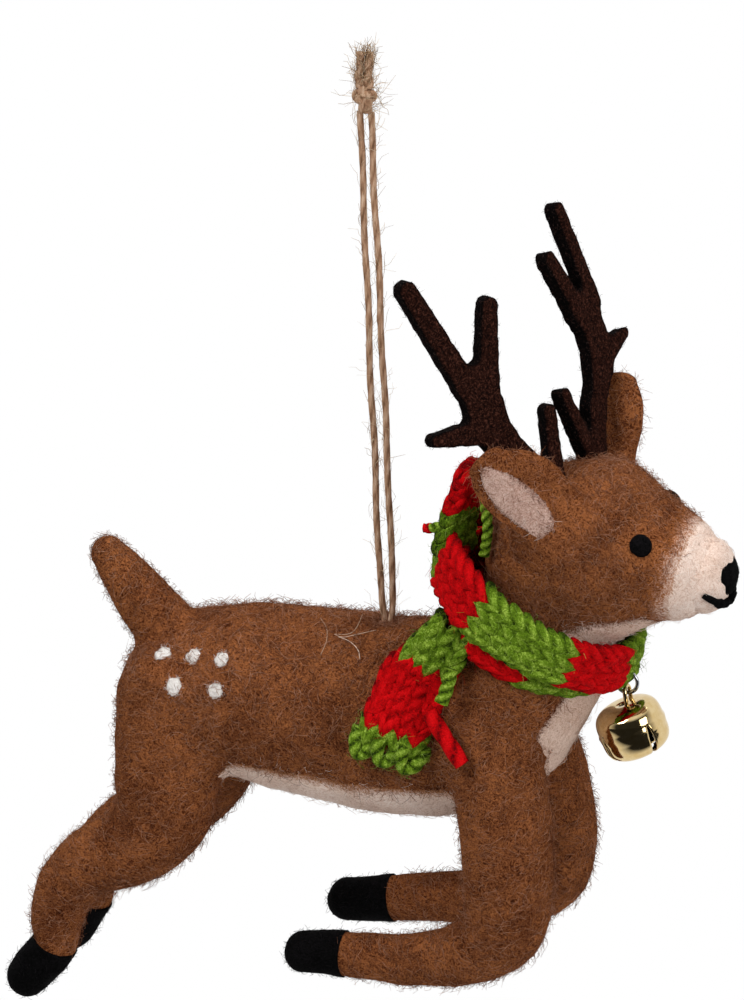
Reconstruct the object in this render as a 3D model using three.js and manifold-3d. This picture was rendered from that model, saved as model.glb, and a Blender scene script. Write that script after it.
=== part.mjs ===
// Leaping felt reindeer that hangs on a twine loop, with a knitted scarf and a jingle bell.
// Millimetres, +Z up, +X towards the nose, +Y the deer's left. The origin is the point under the
// twine's knot where a hook or twig carries the loop. The figure has its own frame, whose origin is
// where the twine meets the back.
import * as THREE from "three";
import { mergeVertices } from "three/addons/utils/BufferGeometryUtils.js";
import Module from "manifold-3d";

const wasm = await Module();
wasm.setup();

// Clearance between pieces that touch
const GAP = 0.3;

// Twine loop
const TWINE_DIAMETER = 1.5;
const TWINE_DROP = 96;
const TWINE_SPREAD_TOP = 1.9;
const TWINE_SPREAD_BACK = 2.2;
const TWINE_BOW = 0.5;
const SWAY_DEPTH = 1.9;
const KNOT_WIDTH = 4.3;
const KNOT_HEIGHT = 4;
const TWINE_END_LENGTH = 6.2;
const ANCHOR_DIAMETER = 3.8;
const ANCHOR_DEPTH = 1.4;
const ANCHOR_DISH_WIDTH = 9;
const ANCHOR_DISH_DEPTH = 1.2;

// Felt thicknesses
const BODY_WALL = 4.5;
const PATCH_THICKNESS = 1.3;
const CORE_PEG = 7;

// Forms, each row x, y, z, half width across the spine, half height
const TORSO_ROWS = [
  [-43.2, 0, -18.1, 10.3, 9.5],
  [-37, 0, -16.2, 13.4, 12.8],
  [-26, 0, -16, 15.6, 15],
  [-10, 0, -17.3, 16.4, 16.7],
  [6, 0, -17.8, 16, 17.3],
  [17.5, 0, -14.2, 14.6, 16.2],
  [25.5, 0, -6.2, 12.9, 13.2],
  [30.5, 0, 3.5, 12.3, 12.7],
  [34, 0, 12.5, 11, 11],
];
const HEAD_ROWS = [
  [25.5, 0, 18, 9.8, 10.5],
  [31, 0, 17.6, 12.6, 13.8],
  [38, 0, 16.8, 13.6, 15.6],
  [44.3, 0, 15.9, 12.6, 14.5],
  [50.6, 0, 15.1, 10.6, 11.1],
  [56, 0, 13.9, 8.3, 9],
  [59.2, 0, 13.3, 5.8, 6.7],
];
const TAIL_ROWS = [
  [-37.5, 0, -10, 5.2, 5.2],
  [-41, 0, -5.8, 5.4, 5.4],
  [-45.7, 0, -0.2, 4.9, 4.9],
  [-49.2, 0, 4.7, 4, 4],
  [-51.3, 0, 7.3, 3.1, 3.1],
];
const RIGHT_FRONT_LEG_ROWS = [
  [21.5, -9.5, -15, 7, 7.6],
  [23.8, -11.8, -25, 7, 8.3],
  [24.8, -12.6, -34, 6.9, 8.3],
  [24.6, -12.6, -43, 6.7, 8],
  [22.9, -12.5, -51.8, 6.4, 7],
  [14.8, -12.5, -57.2, 5.2, 5.5],
  [4, -12.5, -59.1, 4.3, 4.4],
  [-5.5, -12.5, -59, 3.9, 3.8],
  [-14, -12.5, -59.3, 3.4, 3.3],
];
const LEFT_FRONT_LEG_ROWS = [
  [20.2, 9.5, -15, 7, 7.6],
  [21.2, 11.8, -25, 7, 8],
  [23.5, 12.6, -34.5, 6.9, 7.7],
  [24.8, 12.6, -43.4, 6.6, 7.2],
  [23.4, 12.5, -51, 6.2, 6.5],
  [16, 12.5, -56, 5.1, 5.2],
  [6, 12.5, -57.2, 4.3, 4.4],
  [-5, 12.5, -58.6, 3.9, 3.9],
  [-14.5, 12.5, -59.9, 3.5, 3.5],
];
const RIGHT_REAR_LEG_ROWS = [
  [-34.6, -8.5, -12.5, 7.4, 9.8],
  [-36.8, -9.8, -20.5, 8.1, 10.4],
  [-38.2, -11, -29, 7.9, 9.3],
  [-39.3, -12, -36.5, 7.4, 8.3],
  [-44.5, -12.5, -42, 6.6, 7.2],
  [-52.4, -12.5, -46, 5.8, 6],
  [-57.4, -12.5, -51.4, 5.1, 5.2],
  [-59.4, -12.5, -57.5, 4.5, 4.6],
  [-60, -12.5, -62.3, 3.9, 3.9],
  [-63.6, -12.5, -66.8, 3.8, 3.8],
  [-65.7, -12.5, -69.1, 3.3, 3.3],
];
const LEFT_REAR_LEG_ROWS = [
  [-34.5, 8.5, -12, 7.4, 10],
  [-36, 9.8, -21, 8, 10.2],
  [-37.5, 11, -30, 7.8, 9],
  [-39.8, 12, -37.5, 7.3, 8],
  [-45, 12.5, -43.6, 6.5, 6.8],
  [-53, 12.5, -48, 5.7, 5.6],
  [-59, 12.5, -53, 5, 4.9],
  [-61.8, 12.5, -59, 4.4, 4.4],
  [-62.8, 12.5, -64, 3.9, 3.9],
  [-66, 12.5, -69.5, 3.8, 3.8],
  [-68, 12.5, -72, 3.3, 3.3],
];
// Where each leg is divided, as a share of its spine
const FRONT_KNEE = 0.49;
const FRONT_HOOF = 0.885;
const REAR_STIFLE = 0.36;
const REAR_HOOF = 0.8;
const FRONT_WIRE_DIAMETER = 0.8;
const REAR_WIRE_DIAMETER = 2;
const FRONT_WIRE_CROSSING = [20, 0, -11];
const REAR_WIRE_CROSSING = [-33.5, 0, -10];

// Ears: root and tip on the head, the way the lining faces, and the leaf's sizes
const RIGHT_EAR = { root: [34.4, -13.2, 25.9], tip: [25.2, -19.4, 40], facing: [0.56, -0.83, 0] };
const LEFT_EAR = { root: [37.6, 14.4, 26.6], tip: [37.8, 20, 41.4], facing: [0.3, 0.95, 0] };
const EAR_WIDTH = 10.8;
const EAR_THICKNESS = 3.6;
const LINING_WIDTH = 5.6;
const LINING_THICKNESS = 1.8;

// Face
const EYE_DIAMETER = 4;
const EYE_THICKNESS = 2.4;
const EYE_X = 50.4;
const EYE_Z = 21.8;
const MUZZLE_X = 55.2;
const MUZZLE_LEAN = 15;
const NOSE_WIDTH = 8.6;
const NOSE_HEIGHT = 7.4;
const NOSE_DEPTH = 6;
const NOSE_INSET = 2;
const NOSE_RISE = 1.1;
const MOUTH_THICKNESS = 1.4;
const MOUTH_HALF_WIDTH = 5.2;
const MOUTH_LOW = 8.5;
const MOUTH_RISE = 2.2;

// Antlers: each cut freehand, so each has its own pattern in its own plane, where a tine is x, y and
// width at both ends
const ANTLER_THICKNESS = 3;
const RIGHT_ANTLER = {
  root: [34.2, -6, 34.1],
  out: [-0.626, -0.78, 0],
  up: [-0.157, 0.126, 0.98],
  splay: 15.7,
  tines: [
    [1.8, -5, 4.6, 8, 9, 5.5],
    [8, 9, 5.5, 8.5, 16, 6.6],
    [8.5, 16, 6.6, 8.1, 20.4, 7.4],
    [10.2, 21.5, 4.2, 13.5, 42, 3.5],
    [5.8, 20.5, 4, 0.2, 31.8, 3.2],
    [9.5, 12.2, 5, 19.6, 15.7, 2.3],
    [1.4, -2.5, 3, -2.5, 9.4, 2.4],
  ],
};
const LEFT_ANTLER = {
  root: [36.6, 6, 31],
  out: [0.3, 0.954, 0],
  up: [-0.31, 0.046, 0.95],
  splay: 0,
  tines: [
    [-1.6, -5, 4.6, 4.2, 7.4, 3.9],
    [4.2, 7.4, 3.9, 8.3, 13.5, 4.9],
    [8.3, 13.5, 4.9, 9.4, 19, 5],
    [9.4, 19, 5, 9, 24, 6.8],
    [11.6, 25, 3.2, 9.7, 42.2, 2.6],
    [7.2, 24, 3.6, 3.7, 35, 2.8],
    [9.4, 15.4, 5.2, 16.8, 17.1, 1.9],
    [-0.6, 0, 3.4, -3, 12.4, 2.4],
  ],
};

// White spots on each hip, each row x, z and width
const SPOTS = [
  [-38.3, -6.4, 2.9],
  [-32.5, -6.1, 2.6],
  [-27, -5.9, 2.4],
  [-34.6, -10.2, 2.7],
  [-27.2, -10.5, 2.5],
];
const SPOT_THICKNESS = 1.8;

// Pale patches: each lies where the form's skin passes through a rounded region
const BELLY_PATCH = { centre: [-8, 0, -41], radii: [36, 15.5, 15] };
const CHEST_PATCH = { centre: [33, 0, -22], radii: [10, 10.5, 13] };
const THROAT_PATCH = { centre: [46.5, 0, 1], radii: [7, 7, 6] };

// Scarf
const SCARF_WIDTH = 13;
const SCARF_SIDE_WIDTH = 10.6;
const SCARF_FRONT_WIDTH = 8.6;
const SCARF_THICKNESS = 2.8;
const SCARF_TILT = 31.6;
const SCARF_FRONT_LEAN = 14;
const SCARF_SIDE_LEAN = 44;
const SCARF_NAPE_LEAN = 16;
const SCARF_SLACK = 1.46;
const SCARF_X = 28.1;
const SCARF_Z = 6.2;
const SCARF_INNER_DROP = 5;
const SCARF_TAIL_PATH = [
  [14.9, -14.4, 6],
  [11.8, -14.6, -0.5],
  [8.8, -15, -6.5],
  [6.5, -17, -12.5],
  [4.7, -18.3, -18.5],
];
const SCARF_NAPE_PATH = [[15, -5, 17], [15.8, -5, 22], [16.9, -5.2, 27], [18.2, -5.4, 32]];
const SCARF_NAPE_WIDTH = 8.5;
const SCARF_NAPE_ACROSS = [0.5, 0.866, 0];
const YARN_DIAMETER = 2.8;
const TAIL_LIFT = 45;
// Loose yarn ends, from the middle of the tail; the tail's half width is added to them
const RED_YARN_PATH = [[7, -18.4, -7.6], [10, -19.6, -11.2], [13.4, -20.2, -16]];
const GREEN_YARN_PATH = [[11.2, -17.6, 0.6], [10.6, -18.4, -2.4], [9.6, -19.2, -5.2]];

// Jingle bell on its ring
const BELL_DIAMETER = 12;
const BELL_HEIGHT = 10;
const BELL_WALL = 0.36;
const BELL_SLOT_WIDTH = 1.1;
const BELL_SLOT_HOLE = 1.7;
const BELL_TILT = 6;
const PELLET_DIAMETER = 3.6;
const RING_DIAMETER = 4.6;
const RING_WIRE = 0.7;
const SHANK_WIDTH = 2.5;
const SHANK_WIRE = 0.76;
const SHANK_RISE = 1.9;
const SHANK_FOOT = 5.2;
const PIN_DIAMETER = 0.9;
const PIN_INSET = 0.9;
const SCARF_NOTCH_RADIUS = 3.2;
const SCARF_NOTCH_WIDTH = 1.4;

const Y_AXIS = new THREE.Vector3(0, 1, 0);
const Z_AXIS = new THREE.Vector3(0, 0, 1);

// A closed geometry as a solid that can be joined and cut
function solidOf(geometry) {
  const bare = new THREE.BufferGeometry();
  bare.setAttribute("position", geometry.getAttribute("position").clone());
  if (geometry.index) {
    bare.setIndex(geometry.index.clone());
  }
  const merged = mergeVertices(bare, 1e-4);
  const triangles = [];
  const index = merged.index.array;
  for (let i = 0; i < index.length; i += 3) {
    const [a, b, c] = [index[i], index[i + 1], index[i + 2]];
    if (a !== b && b !== c && c !== a) {
      triangles.push(a, b, c);
    }
  }
  const mesh = new wasm.Mesh({
    numProp: 3,
    vertProperties: new Float32Array(merged.getAttribute("position").array),
    triVerts: new Uint32Array(triangles),
  });
  return new wasm.Manifold(mesh);
}

// The largest body of a solid, without the crumbs that a cut can leave
function largest(solid) {
  const bodies = solid.decompose();
  bodies.sort((a, b) => b.volume() - a.volume());
  return bodies[0];
}

function cut(solid, ...tools) {
  let result = solid;
  for (const tool of tools) {
    result = result.subtract(tool);
  }
  return largest(result);
}

function join(...solids) {
  return solids.reduce((sum, solid) => sum.add(solid));
}

// Triangles between rings of points, closed by a pole at each end, or end to start without poles
function skin(rings, startPole, endPole) {
  const sides = rings[0].length;
  const points = rings.flat();
  const faces = [];
  const looped = !startPole;
  const spans = looped ? rings.length : rings.length - 1;
  for (let r = 0; r < spans; r++) {
    const here = r * sides;
    const next = ((r + 1) % rings.length) * sides;
    for (let s = 0; s < sides; s++) {
      const t = (s + 1) % sides;
      faces.push(here + s, here + t, next + t, here + s, next + t, next + s);
    }
  }
  if (!looped) {
    const first = points.length;
    const last = first + 1;
    const top = (rings.length - 1) * sides;
    points.push(startPole, endPole);
    for (let s = 0; s < sides; s++) {
      const t = (s + 1) % sides;
      faces.push(first, t, s, last, top + s, top + t);
    }
  }
  const geometry = new THREE.BufferGeometry().setFromPoints(points);
  geometry.setIndex(faces);
  return geometry;
}

// A point on a rounded section; a squareness of 2 is an ellipse, more is flatter
function sectionPoint(angle, halfWidth, halfHeight, squareness) {
  const bend = 2 / squareness;
  const c = Math.cos(angle);
  const s = Math.sin(angle);
  return [
    halfWidth * Math.sign(c) * Math.abs(c) ** bend,
    halfHeight * Math.sign(s) * Math.abs(s) ** bend,
  ];
}

// A stuffed form: rounded sections carried along a smooth spine, with a rounded end at each end
class StuffedForm {
  constructor(rows, { across = Y_AXIS, caps = [3, 3], rings = 14, sides = 12, squareness = 2 } = {}) {
    this.spine = new THREE.CatmullRomCurve3(rows.map(([x, y, z]) => new THREE.Vector3(x, y, z)));
    this.spine.curveType = "catmullrom";
    this.girth = new THREE.CatmullRomCurve3(rows.map((row) => new THREE.Vector3(row[3], row[4], 0)));
    this.girth.curveType = "catmullrom";
    Object.assign(this, { across, caps, rings, sides, squareness });
  }

  at(t) {
    const centre = this.spine.getPoint(t);
    const along = this.spine.getTangent(t);
    const wide = this.across.clone().addScaledVector(along, -this.across.dot(along)).normalize();
    const tall = along.clone().cross(wide);
    const girth = this.girth.getPoint(t);
    return { centre, along, wide, tall, halfWidth: girth.x, halfHeight: girth.y };
  }

  ring(place, shift, share, grow) {
    const points = [];
    for (let s = 0; s < this.sides; s++) {
      const [w, h] = sectionPoint(
        (2 * Math.PI * s) / this.sides,
        (place.halfWidth + grow) * share,
        (place.halfHeight + grow) * share,
        this.squareness,
      );
      const point = place.centre.clone().addScaledVector(place.along, shift);
      points.push(point.addScaledVector(place.wide, w).addScaledVector(place.tall, h));
    }
    return points;
  }

  solid(grow = 0) {
    const capRings = 3;
    const startCap = this.caps[0] + grow;
    const endCap = this.caps[1] + grow;
    const first = this.at(0);
    const last = this.at(1);
    const rings = [];
    for (let k = 1; k < capRings; k++) {
      const angle = (Math.PI / 2) * (k / capRings);
      rings.push(this.ring(first, -startCap * Math.cos(angle), Math.sin(angle), grow));
    }
    for (let i = 0; i <= this.rings; i++) {
      rings.push(this.ring(this.at(i / this.rings), 0, 1, grow));
    }
    for (let k = capRings - 1; k > 0; k--) {
      const angle = (Math.PI / 2) * (k / capRings);
      rings.push(this.ring(last, endCap * Math.cos(angle), Math.sin(angle), grow));
    }
    const startPole = first.centre.clone().addScaledVector(first.along, -startCap);
    const endPole = last.centre.clone().addScaledVector(last.along, endCap);
    return solidOf(skin(rings, startPole, endPole));
  }

  // How far out a point lies, 1 on the skin, with the outward direction there
  reach(point) {
    let best = null;
    for (let i = 0; i <= 80; i++) {
      const place = this.at(i / 80);
      const offset = point.clone().sub(place.centre);
      const ahead = Math.abs(offset.dot(place.along));
      if (!best || ahead < best.ahead) {
        best = { place, offset, ahead };
      }
    }
    const { place, offset } = best;
    const w = offset.dot(place.wide);
    const h = offset.dot(place.tall);
    const beyond = offset.dot(place.along);
    const cap = this.caps[1];
    const a = Math.abs(beyond) > 0.8 ? beyond : 0;
    const value = Math.hypot(w / place.halfWidth, h / place.halfHeight, a / cap);
    const outward = place.wide.clone().multiplyScalar(w / place.halfWidth ** 2);
    outward.addScaledVector(place.tall, h / place.halfHeight ** 2);
    outward.addScaledVector(place.along, a / cap ** 2);
    return { value, outward: outward.normalize() };
  }

  // The two parts of a solid on either side of the section at a share of the spine
  before(solid, t) {
    const { centre, along } = this.at(t);
    const back = along.clone().negate();
    return largest(solid.trimByPlane(back.toArray(), centre.dot(back) + GAP / 2));
  }

  after(solid, t) {
    const { centre, along } = this.at(t);
    return largest(solid.trimByPlane(along.toArray(), centre.dot(along) + GAP / 2));
  }
}

// The first point of the forms that a straight line meets, with the outward direction there
function touch(start, direction, forms) {
  const point = start.clone();
  for (let step = 0; step < 1200; step++) {
    for (const form of forms) {
      const { value, outward } = form.reach(point);
      if (value <= 1) {
        return { point, outward };
      }
    }
    point.addScaledVector(direction, 0.05);
  }
  return { point, outward: direction.clone().negate() };
}

function ball(radii, centre, turn = new THREE.Quaternion(), segments = 10) {
  const geometry = new THREE.SphereGeometry(1, segments, Math.round(segments * 0.7));
  geometry.applyMatrix4(new THREE.Matrix4().compose(centre, turn, radii));
  return solidOf(geometry);
}

function tube(points, diameter, steps, sides = 8, grow = 0) {
  const radius = diameter / 2 + grow;
  const shape = new THREE.Shape();
  for (let s = 0; s < sides; s++) {
    const angle = (2 * Math.PI * s) / sides;
    const [x, y] = [radius * Math.cos(angle), radius * Math.sin(angle)];
    if (s === 0) {
      shape.moveTo(x, y);
    } else {
      shape.lineTo(x, y);
    }
  }
  const path = new THREE.CatmullRomCurve3(points.map((p) => new THREE.Vector3(...p)));
  return solidOf(new THREE.ExtrudeGeometry(shape, { steps, bevelEnabled: false, extrudePath: path }));
}

function rod(radius, length, centre, axis, segments = 16) {
  const geometry = new THREE.CylinderGeometry(radius, radius, length, segments);
  geometry.applyQuaternion(new THREE.Quaternion().setFromUnitVectors(Y_AXIS, axis));
  geometry.translate(centre.x, centre.y, centre.z);
  return solidOf(geometry);
}

function vector(list) {
  return new THREE.Vector3(...list);
}

// Materials
function cloth(color, roughness = 0.95) {
  return new THREE.MeshStandardMaterial({ color, roughness, metalness: 0 });
}
function metal(color, roughness) {
  return new THREE.MeshStandardMaterial({ color, roughness, metalness: 1 });
}
const BROWN_WOOL = cloth(0x6f452b);
const BATTING = cloth(0xe9e2d6);
const CREAM_WOOL = cloth(0xd8bba8);
const PINK_WOOL = cloth(0xc69f92);
const BLACK_WOOL = cloth(0x16110f);
const WHITE_WOOL = cloth(0xece6e0);
const ANTLER_FELT = cloth(0x34201a);
const RED_KNIT = cloth(0xb9101e);
const GREEN_KNIT = cloth(0x6f9638);
const JUTE = cloth(0xa8845a);
const GOLD = metal(0xe0b64c, 0.22);
const STEEL = metal(0xb9bcc0, 0.3);

function meshOf(name, solid, material) {
  const data = solid.getMesh();
  const geometry = new THREE.BufferGeometry();
  geometry.setAttribute("position", new THREE.BufferAttribute(Float32Array.from(data.vertProperties), 3));
  geometry.setIndex(new THREE.BufferAttribute(Uint32Array.from(data.triVerts), 1));
  geometry.computeVertexNormals();
  const mesh = new THREE.Mesh(geometry, material);
  mesh.name = name;
  return mesh;
}

// Stuffed forms
const torsoForm = new StuffedForm(TORSO_ROWS, { caps: [4, 4], rings: 15, sides: 14 });
const headForm = new StuffedForm(HEAD_ROWS, { caps: [4.5, 4.6], rings: 10, sides: 14 });
const tailForm = new StuffedForm(TAIL_ROWS, { caps: [2.8, 2.8], rings: 5, sides: 8 });
const legForms = {
  right_front: new StuffedForm(RIGHT_FRONT_LEG_ROWS, { rings: 13, sides: 9 }),
  left_front: new StuffedForm(LEFT_FRONT_LEG_ROWS, { rings: 13, sides: 9 }),
  right_rear: new StuffedForm(RIGHT_REAR_LEG_ROWS, { rings: 14, sides: 9 }),
  left_rear: new StuffedForm(LEFT_REAR_LEG_ROWS, { rings: 14, sides: 9 }),
};

// The batting core follows the torso and reaches out of the neck into the head
function coreRows() {
  const rows = TORSO_ROWS.map(([x, y, z, w, h]) => [x, y, z, w - BODY_WALL, h - BODY_WALL]);
  const { centre, along, halfWidth } = torsoForm.at(1);
  const peg = centre.addScaledVector(along, CORE_PEG);
  rows.push([peg.x, peg.y, peg.z, halfWidth - BODY_WALL, halfWidth - BODY_WALL]);
  return rows;
}
const coreForm = new StuffedForm(coreRows(), { caps: [2, 2], rings: 9, sides: 8 });

const torso = torsoForm.solid();
const torsoRoom = torsoForm.solid(GAP);
const head = headForm.solid();
const headRoom = headForm.solid(GAP);
const core = coreForm.solid();
const coreRoom = coreForm.solid(GAP);
const legRooms = Object.values(legForms).map((form) => form.solid(GAP));

// Leg wires, one bent through both front legs and one through both rear legs
function legWire(right, left, crossing, diameter, grow) {
  const shares = [0.93, 0.8, 0.68, 0.56, 0.46, 0.35, 0.22, 0.08];
  const down = shares.map((t) => right.spine.getPoint(t).toArray());
  const up = shares.map((t) => left.spine.getPoint(t).toArray()).reverse();
  return tube([...down, crossing, ...up], diameter, 30, 5, grow);
}
function frontLegWire(grow) {
  return legWire(legForms.right_front, legForms.left_front, FRONT_WIRE_CROSSING, FRONT_WIRE_DIAMETER, grow);
}
function rearLegWire(grow) {
  return legWire(legForms.right_rear, legForms.left_rear, REAR_WIRE_CROSSING, REAR_WIRE_DIAMETER, grow);
}
const frontBore = frontLegWire(GAP);
const rearBore = rearLegWire(GAP);

// Twine anchor in the back
const back = touch(new THREE.Vector3(0, 0, 8), new THREE.Vector3(0, 0, -1), [torsoForm]).point;
const anchorCentre = back.clone().addScaledVector(Z_AXIS, -ANCHOR_DEPTH);
const anchorRadius = ANCHOR_DIAMETER / 2;
const anchor = ball(new THREE.Vector3().setScalar(anchorRadius), anchorCentre);
const anchorPocket = ball(new THREE.Vector3().setScalar(anchorRadius + GAP), anchorCentre, undefined, 10);
const dishGeometry = new THREE.ConeGeometry(ANCHOR_DISH_WIDTH / 2, 2 * ANCHOR_DISH_DEPTH, 10);
dishGeometry.rotateX(-Math.PI / 2);
dishGeometry.translate(back.x, back.y, back.z);
const anchorDish = solidOf(dishGeometry);

const figure = new THREE.Group();
figure.name = "figure";
figure.position.z = -TWINE_DROP;

figure.add(meshOf("torso", cut(torso, coreRoom, frontBore, rearBore, anchorPocket, anchorDish), BROWN_WOOL));
figure.add(meshOf("body_core", cut(core, frontBore, rearBore), BATTING));
figure.add(meshOf("tail", cut(tailForm.solid(), torsoRoom), BROWN_WOOL));
figure.add(meshOf("front_leg_wire", frontLegWire(0), STEEL));
figure.add(meshOf("rear_leg_wire", rearLegWire(0), STEEL));

// Legs, each in two wool pieces and a hoof
function addLeg(name, form, split, hoofSplit, bore, upperName, lowerName) {
  const whole = cut(form.solid(), torsoRoom, bore);
  const upper = form.before(whole, split);
  const lower = form.before(form.after(whole, split), hoofSplit);
  const hoof = form.after(whole, hoofSplit);
  figure.add(meshOf(`${name}_${upperName}`, upper, BROWN_WOOL));
  figure.add(meshOf(`${name}_${lowerName}`, lower, BROWN_WOOL));
  figure.add(meshOf(`${name}_hoof`, hoof, BLACK_WOOL));
}
addLeg("right_front", legForms.right_front, FRONT_KNEE, FRONT_HOOF, frontBore, "upper_leg", "lower_leg");
addLeg("left_front", legForms.left_front, FRONT_KNEE, FRONT_HOOF, frontBore, "upper_leg", "lower_leg");
addLeg("right_rear", legForms.right_rear, REAR_STIFLE, REAR_HOOF, rearBore, "thigh", "shank");
addLeg("left_rear", legForms.left_rear, REAR_STIFLE, REAR_HOOF, rearBore, "thigh", "shank");

// Antlers
function tine([x0, y0, w0, x1, y1, w1], grow) {
  const [r0, r1] = [w0 / 2 + grow, w1 / 2 + grow];
  const angle = Math.atan2(y1 - y0, x1 - x0);
  const shape = new THREE.Shape();
  shape.absarc(x0, y0, r0, angle + Math.PI / 2, angle + 1.5 * Math.PI, false);
  shape.absarc(x1, y1, r1, angle - Math.PI / 2, angle + Math.PI / 2, false);
  const depth = ANTLER_THICKNESS + 2 * grow;
  const geometry = new THREE.ExtrudeGeometry(shape, { depth, bevelEnabled: false, curveSegments: 3 });
  geometry.translate(0, 0, -depth / 2);
  return solidOf(geometry);
}
function antler({ root, out, up, splay, tines }, grow) {
  const x = vector(out).normalize();
  const z = x.clone().cross(vector(up)).normalize();
  const y = z.clone().cross(x);
  const matrix = new THREE.Matrix4().makeBasis(x, y, z).setPosition(vector(root));
  matrix.multiply(new THREE.Matrix4().makeRotationZ(-THREE.MathUtils.degToRad(splay)));
  return join(...tines.map((row) => tine(row, grow))).transform(matrix.toArray());
}
figure.add(meshOf("right_antler", antler(RIGHT_ANTLER, 0), ANTLER_FELT));
figure.add(meshOf("left_antler", antler(LEFT_ANTLER, 0), ANTLER_FELT));

// Ears with a lining let into the side that faces out
function earForm({ root, tip, facing }, width, thickness, reach, lift) {
  const axis = vector(tip).sub(vector(root));
  const normal = vector(facing);
  normal.addScaledVector(axis, -normal.dot(axis) / axis.lengthSq()).normalize();
  const across = axis.clone().normalize().cross(normal);
  const profile = [[-0.2, 0.5, 1], [0.12, 0.8, 1], [0.42, 1, 0.95], [0.72, 0.95, 0.85], [0.92, 0.66, 0.65]];
  const rows = profile.map(([share, wide, thick]) => {
    const middle = 0.45;
    const place = vector(root).addScaledVector(axis, middle + (share - middle) * reach);
    place.addScaledVector(normal, lift);
    return [...place.toArray(), (width / 2) * wide, (thickness / 2) * thick];
  });
  return new StuffedForm(rows, { across, caps: [1.5, 1.5 * reach], rings: 6, sides: 8 });
}
const LINING_REACH = 0.66;
const LINING_LIFT = EAR_THICKNESS / 2 - 0.35;
for (const [side, ear] of [["right", RIGHT_EAR], ["left", LEFT_EAR]]) {
  const outer = earForm(ear, EAR_WIDTH, EAR_THICKNESS, 1, 0).solid();
  const liningForm = earForm(ear, LINING_WIDTH, LINING_THICKNESS, LINING_REACH, LINING_LIFT);
  figure.add(meshOf(`${side}_ear`, cut(outer, headRoom, liningForm.solid(GAP)), BROWN_WOOL));
  figure.add(meshOf(`${side}_ear_lining`, cut(liningForm.solid(), headRoom), PINK_WOOL));
}

// Face
const FROM_RIGHT = new THREE.Vector3(0, 1, 0);
const FROM_LEFT = new THREE.Vector3(0, -1, 0);
function eye(sideways, grow) {
  const start = new THREE.Vector3(EYE_X, -30 * sideways.y, EYE_Z);
  const { point, outward } = touch(start, sideways, [headForm]);
  const turn = new THREE.Quaternion().setFromUnitVectors(Z_AXIS, outward);
  const radius = EYE_DIAMETER / 2 + grow;
  return ball(new THREE.Vector3(radius, radius, EYE_THICKNESS / 2 + grow), point, turn);
}
const faceTip = headForm.at(1).centre.x + headForm.caps[1];
const faceAhead = faceTip + 10;
const noseCentre = new THREE.Vector3(faceTip - NOSE_INSET, 0, headForm.at(1).centre.z + NOSE_RISE);
function nose(grow) {
  const radii = new THREE.Vector3(NOSE_DEPTH / 2 + grow, NOSE_WIDTH / 2 + grow, NOSE_HEIGHT / 2 + grow);
  return ball(radii, noseCentre);
}
function mouth(grow) {
  const inwards = new THREE.Vector3(-1, 0, 0);
  const smile = [];
  for (let i = -4; i <= 4; i++) {
    const share = i / 4;
    const start = new THREE.Vector3(faceAhead, MOUTH_HALF_WIDTH * share, MOUTH_LOW + MOUTH_RISE * share ** 2);
    smile.push(touch(start, inwards, [headForm]).point.toArray());
  }
  const lip = [];
  const noseLow = noseCentre.z - NOSE_HEIGHT / 2 - 2 * GAP;
  for (let i = 0; i <= 2; i++) {
    const height = THREE.MathUtils.lerp(MOUTH_LOW, noseLow - MOUTH_THICKNESS / 2, i / 2);
    lip.push(touch(new THREE.Vector3(faceAhead, 0, height), inwards, [headForm]).point.toArray());
  }
  return join(tube(smile, MOUTH_THICKNESS, 10, 6, grow), tube(lip, MOUTH_THICKNESS, 2, 6, grow));
}
const muzzleNormal = new THREE.Vector3(1, 0, 0).applyAxisAngle(Y_AXIS, THREE.MathUtils.degToRad(MUZZLE_LEAN));
const muzzlePlane = muzzleNormal.dot(new THREE.Vector3(MUZZLE_X, 0, headForm.at(0.75).centre.z - 1.5));
const faceBack = head.trimByPlane(muzzleNormal.clone().negate().toArray(), -muzzlePlane + GAP / 2);
const faceFront = head.trimByPlane(muzzleNormal.toArray(), muzzlePlane + GAP / 2);
const eyeSeats = [eye(FROM_RIGHT, GAP), eye(FROM_LEFT, GAP)];
const antlerSeats = [antler(RIGHT_ANTLER, GAP), antler(LEFT_ANTLER, GAP)];
figure.add(meshOf("head", cut(faceBack, torsoRoom, coreRoom, ...antlerSeats, ...eyeSeats), BROWN_WOOL));
figure.add(meshOf("muzzle", cut(faceFront, nose(GAP), mouth(GAP), ...eyeSeats), CREAM_WOOL));
figure.add(meshOf("nose", nose(0), BLACK_WOOL));
figure.add(meshOf("mouth_line", mouth(0), BLACK_WOOL));
figure.add(meshOf("right_eye", eye(FROM_RIGHT, 0), BLACK_WOOL));
figure.add(meshOf("left_eye", eye(FROM_LEFT, 0), BLACK_WOOL));

// White spots on both hips
SPOTS.forEach(([x, z, width], index) => {
  for (const [side, sideways, legForm] of [
    ["right", FROM_RIGHT, legForms.right_rear],
    ["left", FROM_LEFT, legForms.left_rear],
  ]) {
    const start = new THREE.Vector3(x, -30 * sideways.y, z);
    const { point, outward } = touch(start, sideways, [torsoForm, legForm]);
    const turn = new THREE.Quaternion().setFromUnitVectors(Z_AXIS, outward);
    const spot = ball(new THREE.Vector3(width / 2, width / 2, SPOT_THICKNESS / 2), point, turn, 8);
    figure.add(meshOf(`${side}_spot_${index + 1}`, cut(spot, torsoRoom, legForm.solid(GAP)), WHITE_WOOL));
  }
});

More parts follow.
